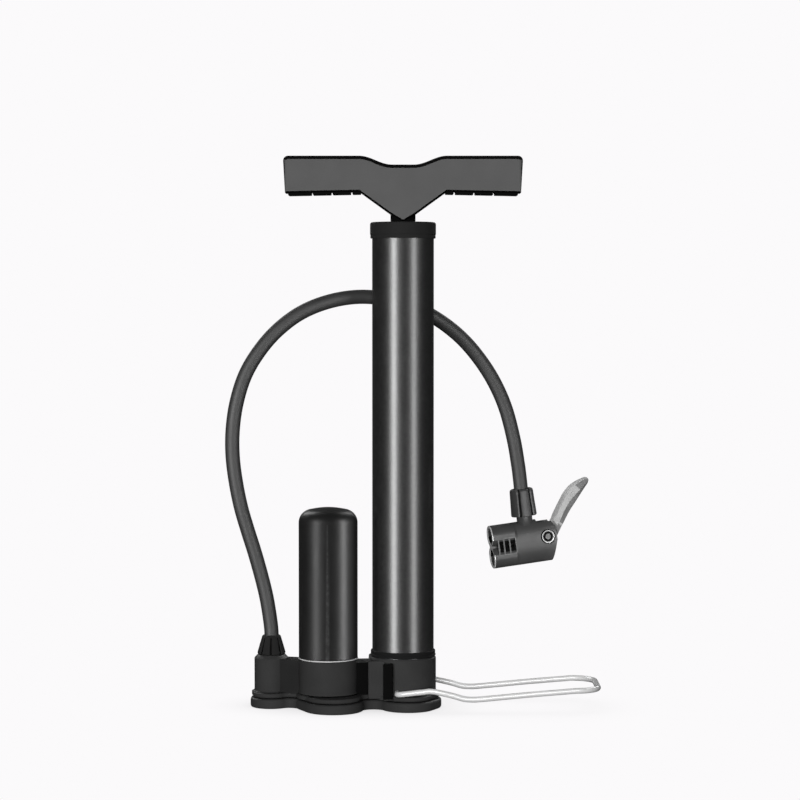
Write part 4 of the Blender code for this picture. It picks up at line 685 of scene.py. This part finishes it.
grip_rings = []
for i in range(7):
    turn = math.pi / 2 * i / 6
    y = GRIP_HALF - GRIP_DRAWN * (1 - math.cos(turn))
    grip_rings.append([(p.x, -y, p.y) for p in drawn_in(outline, 1 - math.sin(turn))])
grip_rings += [[(x, -y, z) for x, y, z in ring_points] for ring_points in reversed(grip_rings)]
upright = columns((0, 0, 0), (1, 0, 0), (0, 0, 1), (0, -1, 0))
handle = loft("grip_bar", grip_rings)
neck = turned("grip_neck", [(0, 300.3), (NECK_RADIUS - 0.4, 300.3), (NECK_RADIUS, 300.7),
                            (NECK_RADIUS, 313), (0, 313)], steps=72)
combine(handle, [neck], "UNION")
cut(handle,
    turned("rod_room", [(0, 298), (ROD_ROOM, 298), (ROD_ROOM, 318.5), (0, 318.5)], steps=48),
    turned("plug_room", [(0, 325.2), (6.0, 325.2), (6.0, 345), (0, 345)], steps=64))
finished(handle, "handle_plastic", "handle_assembly", ("handle",), angle=28)


def painted_shade_on_handle(point, normal):
    """Painted shade on the handle: its top rounding, undersides and ends, and the neck below its V,
    chosen by the way each face turns.
    """
    neck = abs(math.hypot(point.x, point.y) - NECK_RADIUS) < 0.3 and point.z < 312
    above = normal.z > 0.15 and abs(normal.y) < 0.96
    below = normal.z < -0.15 and abs(normal.y) < 0.97
    end = abs(normal.x) > 0.80
    return neck or above or below or end


# painted shade: near-black on the handle's faces turned away from the front lights
touched_up(handle, "black_and_painted_shade", painted_shade_on_handle)

plug = turned("grip_plug", [(0, 332.0), (5.7, 332.0), (5.7, 333.9), (5.5, 334.3), (5.0, 334.6),
                            (3.2, 334.5), (0, 334.2)], steps=64)
finished(plug, "handle_plastic", "handle_assembly", ("handle_plug",))


def underside(x):
    """Height of a strip's lower face, which follows the wing above it."""
    slope = (WING_KNEE[1] - WING_END[1]) / (WING_END[0] - WING_KNEE[0])
    return WING_END[1] + slope * (WING_END[0] - x) - STRIP_DEPTH


for side, sign in (("left", -1), ("right", 1)):
    inner, outer = STRIP_ENDS
    outline = [(inner, underside(inner))]
    for notch in NOTCHES:
        left, right = notch - NOTCH_HALF, notch + NOTCH_HALF
        outline += [(left, underside(left)), (left, underside(left) + STRIP_DEPTH),
                    (right, underside(right) + STRIP_DEPTH), (right, underside(right))]
    outline += [(outer, underside(outer)), (outer, STRIP_TOP), (inner, STRIP_TOP)]
    turn = Matrix.Rotation(0 if sign > 0 else math.pi, 4, "Z") @ upright
    cover = extruded("grip_strip_" + side, outline, -STRIP_HALF, STRIP_HALF, turn)
    rounded(cover, 0.35, 2, 40)
    finished(cover, "black_and_painted_shade", "handle_assembly", ("handle_under_cover_" + side,))

# ---------------------------------------------------------------- stirrup
def stirrup_side():
    """One long side of the wire, seen from the front."""
    marks = [(-0.5, 11.75), (12, 13.1), (18, 13.5), (30, 11.0), (37, 9.0), (42, 8.6), (48, 8.85),
             (76, 11.5), (106, 14)]
    return smooth_route([Vector((x, 0.0, z)) for x, z in marks], 60)


SIDE_LIFT = 0.35                     # from the hook up to the start of the long side
HOOK_BEND = 3
END_BEND = 14
END_X = 120
END_Z = 14
RIB_GAP = 0.35
reach = RIB_REACH + RIB_GAP + WIRE
wire = [Vector((PIVOT_X, -13.7, PIVOT_Z)), Vector((PIVOT_X, -18.5, PIVOT_Z))]
for i in range(9):
    turn = math.pi / 2 * i / 8
    wire.append(Vector((PIVOT_X + HOOK_BEND * (1 - math.cos(turn)),
                        -reach + HOOK_BEND * (1 - math.sin(turn)),
                        PIVOT_Z + SIDE_LIFT * (1 - math.cos(turn)))))
wire += [Vector((p.x, -reach, p.z)) for p in stirrup_side()[1:]]
for i in range(1, 15):
    turn = math.pi / 2 * i / 14
    wire.append(Vector((END_X - END_BEND * (1 - math.sin(turn)),
                        -reach + END_BEND * (1 - math.cos(turn)), END_Z)))
wire += [Vector((p.x, -p.y, p.z)) for p in reversed(wire)]
stirrup = swept("stirrup_wire", wire, [WIRE] * len(wire), 32)
finished(stirrup, "bright_steel", "stirrup", ("stirrup",))

# ---------------------------------------------------------------- twin head
level = Vector((math.cos(HOSE_YAW), math.sin(HOSE_YAW), 0.0))
rise = Vector((0.0, 0.0, 1.0))
u_axis = level * math.cos(HEAD_TILT) + rise * math.sin(HEAD_TILT)
w_axis = rise * math.cos(HEAD_TILT) - level * math.sin(HEAD_TILT)
head = columns(hose_point(HEAD_ALONG, HEAD_HEIGHT), u_axis, w_axis.cross(u_axis), w_axis)


def through(v=0.0, w=0.0):
    """Local Z along the head, X to the back and Y up."""
    return head @ columns((0, v, w), (0, 1, 0), (0, 0, 1), (1, 0, 0))


def side_on(u=0.0, w=0.0):
    """Local Z to the front, X along the head and Y up."""
    return head @ columns((u, 0, w), (1, 0, 0), (0, 0, 1), (0, -1, 0))


def head_section(u, inset, blend):
    """Outline of the head across its length: two tubes side by side, swelling into an oval."""
    points = []
    for i in range(120):
        turn = 2 * math.pi * (i + 0.5) / 120
        c, n = abs(math.cos(turn)), abs(math.sin(turn))
        tubes = TUBE / c if n <= c else 2 * TUBE * n
        oval = ((c / TUBE) ** 2.5 + (n / (2 * TUBE)) ** 2.5) ** -0.4
        reach = tubes + (oval - tubes) * blend - inset
        points.append((reach * math.cos(turn), reach * math.sin(turn), u))
    return points


HEAD_STATIONS = ((-24.0, 0.25, 0.0), (-23.85, 0.06, 0.0), (-23.5, 0.0, 0.0), (-9.3, 0.0, 0.0),
                 (-8.9, 0.0, 0.15), (-8.3, 0.0, 0.5), (-7.7, 0.0, 0.85), (-7.2, 0.0, 1.0),
                 (18.5, 0.0, 1.0))
head_body = loft("head_shell", [head_section(*station) for station in HEAD_STATIONS], through())
back = [(-26, -14.7), (14.5, -14.7), (14.5, -13.7), (18.3, 0.0), (17.8, 8.0), (14.8, 13.7),
        (14.8, 15), (-26, 15)]
trim = extruded("head_trim", back, -14, 14, side_on())
combine(head_body, [trim], "INTERSECT")
spigot = turned("head_spigot", [(0, 5.0), (6.6, 5.0), (6.6, 6.2), (5.6, 7.0), (5.15, 8.0),
                                (5.0, 9.2), (5.0, 16.4), (4.8, 16.7), (0, 16.7)], head, 64)
combine(head_body, [spigot], "UNION")


def valley(sign):
    """The hollow between the two tubes on one side."""
    start = math.acos(VALLEY / TUBE)
    stop = math.radians(18)
    side_wall = [(TUBE * math.cos(t), TUBE - TUBE * math.sin(t))
                 for t in (start + (stop - start) * i / 12 for i in range(13))]
    side_wall.append((TUBE + 1, side_wall[-1][1]))
    outline = side_wall + [(v, -w) for v, w in reversed(side_wall)]
    return [(sign * v, w) for v, w in outline]


pin_place = side_on(*PIN_PLACE)
mouth_profile = [(0, -30), (MOUTH + 0.35, -30), (MOUTH, -23.4), (MOUTH, -10.5), (0, -10.5)]
head_rooms = [
    block("lever_room", (6.5, -4.2, -8.0), (20, 4.2, 20), head),
    block("clamp_room", (-11.0, -3.6, -10.3), (-5.0, 3.6, 10.3), head),
    turned("pin_recess", [(0, 5.65), (PIN_RECESS, 5.65), (PIN_RECESS, 14), (0, 14)], pin_place, 64),
    turned("pin_recess_rear", [(0, -14), (PIN_RECESS, -14), (PIN_RECESS, -5.65), (0, -5.65)],
           pin_place, 64),
    turned("pin_bore", [(0, -9), (PIN_BORE, -9), (PIN_BORE, 9), (0, 9)], pin_place, 32),
    turned("mouth_room_upper", mouth_profile, through(0, TUBE), 64),
    turned("mouth_room_lower", mouth_profile, through(0, -TUBE), 64)]
for i, (low, high) in enumerate(SLOTS):
    for sign in (1, -1):
        outline = valley(sign)
        if sign < 0:
            outline = outline[::-1]
        head_rooms.append(extruded("slot_%d_%d" % (i, sign), outline, low, high, through()))
cut(head_body, *head_rooms)
finished(head_body, "head_plastic", "base", ("head_body",), angle=35)
head_back = head.inverted()
# painted highlight: a bright, shiny finish on the mouths' end faces where they catch the light
touched_up(head_body, "painted_highlight_rim", lambda point, normal: (head_back @ point).x < -23.45)
# painted shade: the hollows of the slots between the head's two tubes are darkened
touched_up(head_body, "black_and_painted_shade", lambda point, normal: -20.5 < (head_back @ point).x < -9.5
           and abs((head_back @ point).y) < 6.0 and abs((head_back @ point).z) < 6.3)

pin = turned("lever_pivot_pin", [(0, 6.85), (1.7, 6.85), (1.9, 6.6), (2.3, 6.3), (2.9, 6.35),
                                 (3.3, 6.75), (3.6, 7.1), (4.0, 7.15), (4.4, 6.95), (4.5, 6.6),
                                 (4.5, 5.95), (1.75, 5.95), (1.75, -5.95), (4.5, -5.95),
                                 (4.5, -6.75), (4.2, -7.1), (3.0, -7.15), (0, -7.15)],
             pin_place, 64)
finished(pin, "head_plastic", "base", ("lever_pin",))
pin_back = pin_place.inverted()


def pin_reach(point):
    """Distance from the pin's axis."""
    local = pin_back @ point
    return math.hypot(local.x, local.y)


# painted highlight on the pin head's raised ring; painted shade round its centre and on its outer
# edge
touched_up(pin, "painted_highlight_rim", lambda point, normal: 3.3 < pin_reach(point) < 4.15)
touched_up(pin, "black_and_painted_shade", lambda point, normal: pin_reach(point) > 4.15
           or 1.85 < pin_reach(point) < 2.6)

for side, w, bore in (("upper", TUBE, 3.9), ("lower", -TUBE, 3.1)):
    seal = turned("mouth_rubber_" + side, [(5.1, -11.2), (5.1, -19.0), (4.8, -19.3),
                                           (bore + 0.6, -19.3), (bore, -18.5), (bore, -11.2)],
                  through(0, w), 64, loop=True)
    finished(seal, "seal_rubber", "base", ("mouth_seal_" + side,))

# ---------------------------------------------------------------- lever
lever_outer = [(0, -2.9), (3.9, -6.4), (6.4, -1.2), (10.9, 5.7), (16.4, 13.6), (21.9, 19.9),
               (27.0, 25.8), (30.7, 29.6), (31.5, 31.0)]
lever_inner = [(25.2, 31.5), (21.9, 29.9), (18.9, 27.8), (15.3, 24.0), (12.2, 19.6), (8.4, 14.0),
               (5.0, 8.9), (1.6, 4.6), (-1.5, 3.9)]
outer_edge = smooth_route([Vector((x, y, 0)) for x, y in lever_outer[2:9]], 30)
inner_edge = smooth_route([Vector((x, y, 0)) for x, y in lever_inner[-2::-1] + [(30.0, 33.0)]], 30)
blade_rings = []
for i, (outside, inside) in enumerate(zip(outer_edge, inner_edge)):
    if outside.length < 9.5:
        continue
    span = inside - outside
    grown = min(1.0, max(0.0, (outside.length - 10.0) / 4.0))
    wide = 3.9 + 2.1 * grown * grown * (3 - 2 * grown)
    along = i / 29
    narrow = 1.0 - 0.30 * max(0.0, (along - 0.75) / 0.25) ** 2
    fold = 0.30 + 0.22 * math.sin(math.pi * min(1.0, along * 1.2))
    profile = ((0.0, 0.66), (0.015, 0.76), (0.05, 0.82), (fold, 1.0), (0.95, 0.87), (0.985, 0.80),
               (1.0, 0.70))
    ring_points = [outside + span * s + Vector((0, 0, wide * narrow * z)) for s, z in profile]
    ring_points += [outside + span * s - Vector((0, 0, wide * narrow * z))
                    for s, z in reversed(profile)]
    blade_rings.append(ring_points)
last = sum(blade_rings[-1], Vector()) / len(blade_rings[-1])
ahead = (last - sum(blade_rings[-2], Vector()) / len(blade_rings[-2])).normalized()
for step, share in ((0.35, 0.93), (0.55, 0.80), (0.65, 0.6)):
    blade_rings.append([last + (p - last) * share + ahead * step for p in blade_rings[-1]])
lever = loft("clamp_lever", blade_rings, pin_place)
root = [(0, -2.9), (3.9, -6.4), (6.4, -1.2), (10.9, 5.7), (12.2, 8.0), (7.4, 12.2), (5.0, 8.9),
        (1.6, 4.6), (-1.5, 3.9)]
root_plate = extruded("lever_root", root, -LEVER_ROOT_HALF, LEVER_ROOT_HALF, pin_place)
LEVER_WELD = 4e-5                    # metres; closes slivers that the union leaves
cam_turn = math.radians(140)
cam_edge = [(CAM_RADIUS - 0.3, CAM_HALF), (CAM_RADIUS, CAM_HALF - 0.3)]
cam_profile = [(0, -CAM_HALF), *[(radius, -w) for radius, w in cam_edge], *cam_edge[::-1],
               (0, CAM_HALF)]
cam = turned("lever_cam", cam_profile, pin_place @ place(CAM_OFFSET * math.cos(cam_turn),
                                                         CAM_OFFSET * math.sin(cam_turn), 0), 48)
for part_of_root in (root_plate, cam):
    cut(part_of_root, turned("lever_bore", [(0, -8), (PIN_BORE, -8), (PIN_BORE, 8), (0, 8)],
                             pin_place, 32))
combine(lever, [root_plate, cam], "UNION")
tidy(lever, LEVER_WELD)
finished(lever, "lever_alloy", "lever", ("lever",))
# painted light: the lever's facets on one side get the lighter copy of its grey
touched_up(lever, "lever_lit_side", lambda point, normal: (pin_back.to_3x3() @ normal).x < -0.04)


# ---------------------------------------------------------------- hose nuts
def grip_nut(name, bottom, top, low, height, count, groove, matrix):
    """A tapered nut with flat faces between deep upright grooves."""
    rings = []
    per = 12
    for z, radius, share in ((0, bottom - 0.5, 0.2), (0.35, bottom - 0.12, 0.6), (1.0, bottom, 1.0),
                             (height * 0.5, (bottom + top) / 2, 1.0),
                             (height - 1.6, top + 0.1, 1.0), (height - 0.8, top - 0.15, 0.5),
                             (height - 0.25, top - 0.6, 0.1), (height, top - 1.2, 0.0)):
        ring_points = []
        for i in range(count * per):
            turn = 2 * math.pi * i / (count * per)
            within = (i % per) / per
            away = abs(within - 0.5) * 2
            flat = math.cos(math.pi / count) / math.cos((within - 0.5) * 2 * math.pi / count)
            r = radius * (1 - 0.2 * share * (1 - flat))
            r -= groove * share * max(0.0, (away - 0.72) / 0.28) ** 0.6
            ring_points.append((r * math.cos(turn), r * math.sin(turn), low + z))
        rings.append(ring_points)
    made = loft(name, rings, matrix)
    cut(made, turned(name + "_bore", [(0, low - 2), (NUT_BORE, low - 2),
                                      (NUT_BORE, low + height + 2), (0, low + height + 2)],
                     matrix, 64))
    return made


base_nut = grip_nut("hose_grip_base", 8.8, 6.0, 32.3, 11.7, BASE_NUT_GROOVES, 0.9,
                    place(*OUTLET_AXIS, 0))
finished(base_nut, "dark_plastic_and_painted_shade", "base", ("hose_nut_base",))
head_nut = grip_nut("hose_grip_head", 8.3, 7.5, 17.0, 17.3, HEAD_NUT_GROOVES, 1.1, head)
finished(head_nut, "head_plastic", "base", ("hose_nut_head",))
for nut, inverse, count in ((base_nut, place(*OUTLET_AXIS, 0).inverted(), BASE_NUT_GROOVES),
                            (head_nut, head_back, HEAD_NUT_GROOVES)):
    # painted shade: the grooves of both nuts are darkened
    def in_groove(point, normal):
        local = inverse @ point
        within = (math.atan2(local.y, local.x) / (2 * math.pi) * count) % 1.0
        return abs(within - 0.5) * 2 > GROOVE_FROM and math.hypot(local.x, local.y) > NUT_INSIDE

    touched_up(nut, "black_and_painted_shade", in_groove)

# ---------------------------------------------------------------- finishes of the CAD nodes
LOOKS = {"base": {"channel_cover": "base_plastic", "barrel_seal": "seal_rubber",
                  "tank_seal": "seal_rubber", "check_spring": "polished_steel",
                  "outlet_fitting": "brass", "head_nipple": "brass",
                  **{screw: "plain_steel" for screw in SCREWS}},
         "others": {"piston_cup": "seal_rubber", "piston_rod": "polished_steel",
                    "piston_core": "base_plastic", "piston_washer": "plain_steel",
                    "piston_nut": "plain_steel", "piston_bumper": "seal_rubber",
                    "handle_nut": "plain_steel", "clamp_yoke": "plain_steel",
                    "check_ball": "polished_steel"}}
for group in LOOKS.values():
    for node, look in group.items():
        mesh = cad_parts[node].data
        mesh.materials.clear()
        mesh.materials.append(MATERIALS[look])


# ---------------------------------------------------------------- studio
def stage_finish(name, near):
    """A pale surface of even brightness, with a painted contact shadow: a little darker where
    something stands on it.
    """
    material = bpy.data.materials.new(name)
    material.use_nodes = True
    nodes = material.node_tree.nodes
    links = material.node_tree.links
    nodes.remove(nodes["Principled BSDF"])
    glow = nodes.new("ShaderNodeEmission")
    glow.inputs["Color"].default_value = (0.965, 0.955, 0.965, 1.0)
    # painted contact shadow: ambient occlusion dims the glow near the pump
    if near:
        shade = nodes.new("ShaderNodeAmbientOcclusion")
        shade.inputs["Distance"].default_value = 0.035
        shade.samples = 8
        blend = nodes.new("ShaderNodeMapRange")
        blend.inputs["To Min"].default_value = 0.72
        links.new(shade.outputs["AO"], blend.inputs["Value"])
        links.new(blend.outputs["Result"], glow.inputs["Strength"])
    links.new(glow.outputs["Emission"], nodes["Material Output"].inputs["Surface"])
    return material


FLOOR_RADIUS = 20000
SKY_RADIUS = 19990
floor = turned("studio_floor", [(0, -4), (FLOOR_RADIUS, -4), (FLOOR_RADIUS, 0), (0, 0)], steps=64)
sky_curve = [(x, z - 1) for x, z in arc((0, 0), SKY_RADIUS, 0, 90, 15)]
sky = turned("studio_sky", [*sky_curve, (0, SKY_RADIUS - 1)], steps=64)
for made, material in ((floor, stage_finish("floor_finish", True)),
                       (sky, stage_finish("sky_finish", False))):
    made.data.materials.append(material)
    made.visible_diffuse = False
    made.visible_glossy = False
    made.visible_transmission = False
    made.visible_shadow = False

world = bpy.data.worlds.new("studio_world")
world.use_nodes = True
world.node_tree.nodes["Background"].inputs["Color"].default_value = (1.0, 1.0, 1.0, 1.0)
world.node_tree.nodes["Background"].inputs["Strength"].default_value = 0.04
bpy.context.scene.world = world


def softbox(name, azimuth, distance, height, size, power, target=(0, 0, 0.18), shines="both",
            receivers=()):
    """An area light around the pump; azimuth 0 is the camera's side, positive to the right."""
    data = bpy.data.lights.new(name, "AREA")
    data.shape = "RECTANGLE"
    data.size, data.size_y = size
    data.energy = power
    made = bpy.data.objects.new(name, data)
    turn = math.radians(azimuth)
    made.location = (distance * math.sin(turn), -distance * math.cos(turn), height)
    aim = Vector(target) - made.location
    made.rotation_euler = aim.to_track_quat("-Z", "Y").to_euler()
    made.visible_glossy = shines != "soft"
    made.visible_diffuse = shines != "gloss"
    made.visible_camera = False
    bpy.context.scene.collection.objects.link(made)
    if receivers:
        lit = bpy.data.collections.new(name + "_receivers")
        for piece in receivers:
            lit.objects.link(piece)
        made.light_linking.receiver_collection = lit
    return made


head_pieces = [head_body, head_nut, pin]
softbox("barrel_strip_left", -34, 1.6, 0.2, (0.50, 1.4), 42, shines="gloss", receivers=[barrel, hose])
softbox("barrel_strip_right", 41, 1.6, 0.2, (0.50, 1.4), 23, shines="gloss", receivers=[barrel, hose])
softbox("tank_strip_left", -47, 1.6, 0.2, (0.4, 1.4), 14, shines="gloss", receivers=[tank])
softbox("tank_strip_right", 63, 1.6, 0.2, (0.4, 1.4), 24, shines="gloss", receivers=[tank])
softbox("head_band", 24, 1.6, 0.06, (0.9, 0.3), 12, target=(0.08, 0.04, 0.1), receivers=head_pieces)
softbox("lever_lit_side", -62, 1.6, 0.5, (0.5, 0.5), 14, target=(0.1, 0.05, 0.12), receivers=[lever])
softbox("wire_fill", 0, 1.6, 0.5, (1.2, 0.6), 9, target=(0.06, 0, 0.02), receivers=[stirrup, ring])
softbox("front_fill", -8, 2.2, 0.35, (1.2, 0.6), 40, shines="soft")
softbox("rear_fill", 180, 2.2, 0.9, (1.6, 1.2), 16, shines="soft")
softbox("rear_strip_left", 215, 1.8, 1.5, (0.4, 1.2), 10)
softbox("rear_strip_right", 145, 1.8, 1.5, (0.4, 1.2), 10)

bpy.context.scene.view_settings.view_transform = "Standard"
bpy.context.scene.view_settings.look = "None"
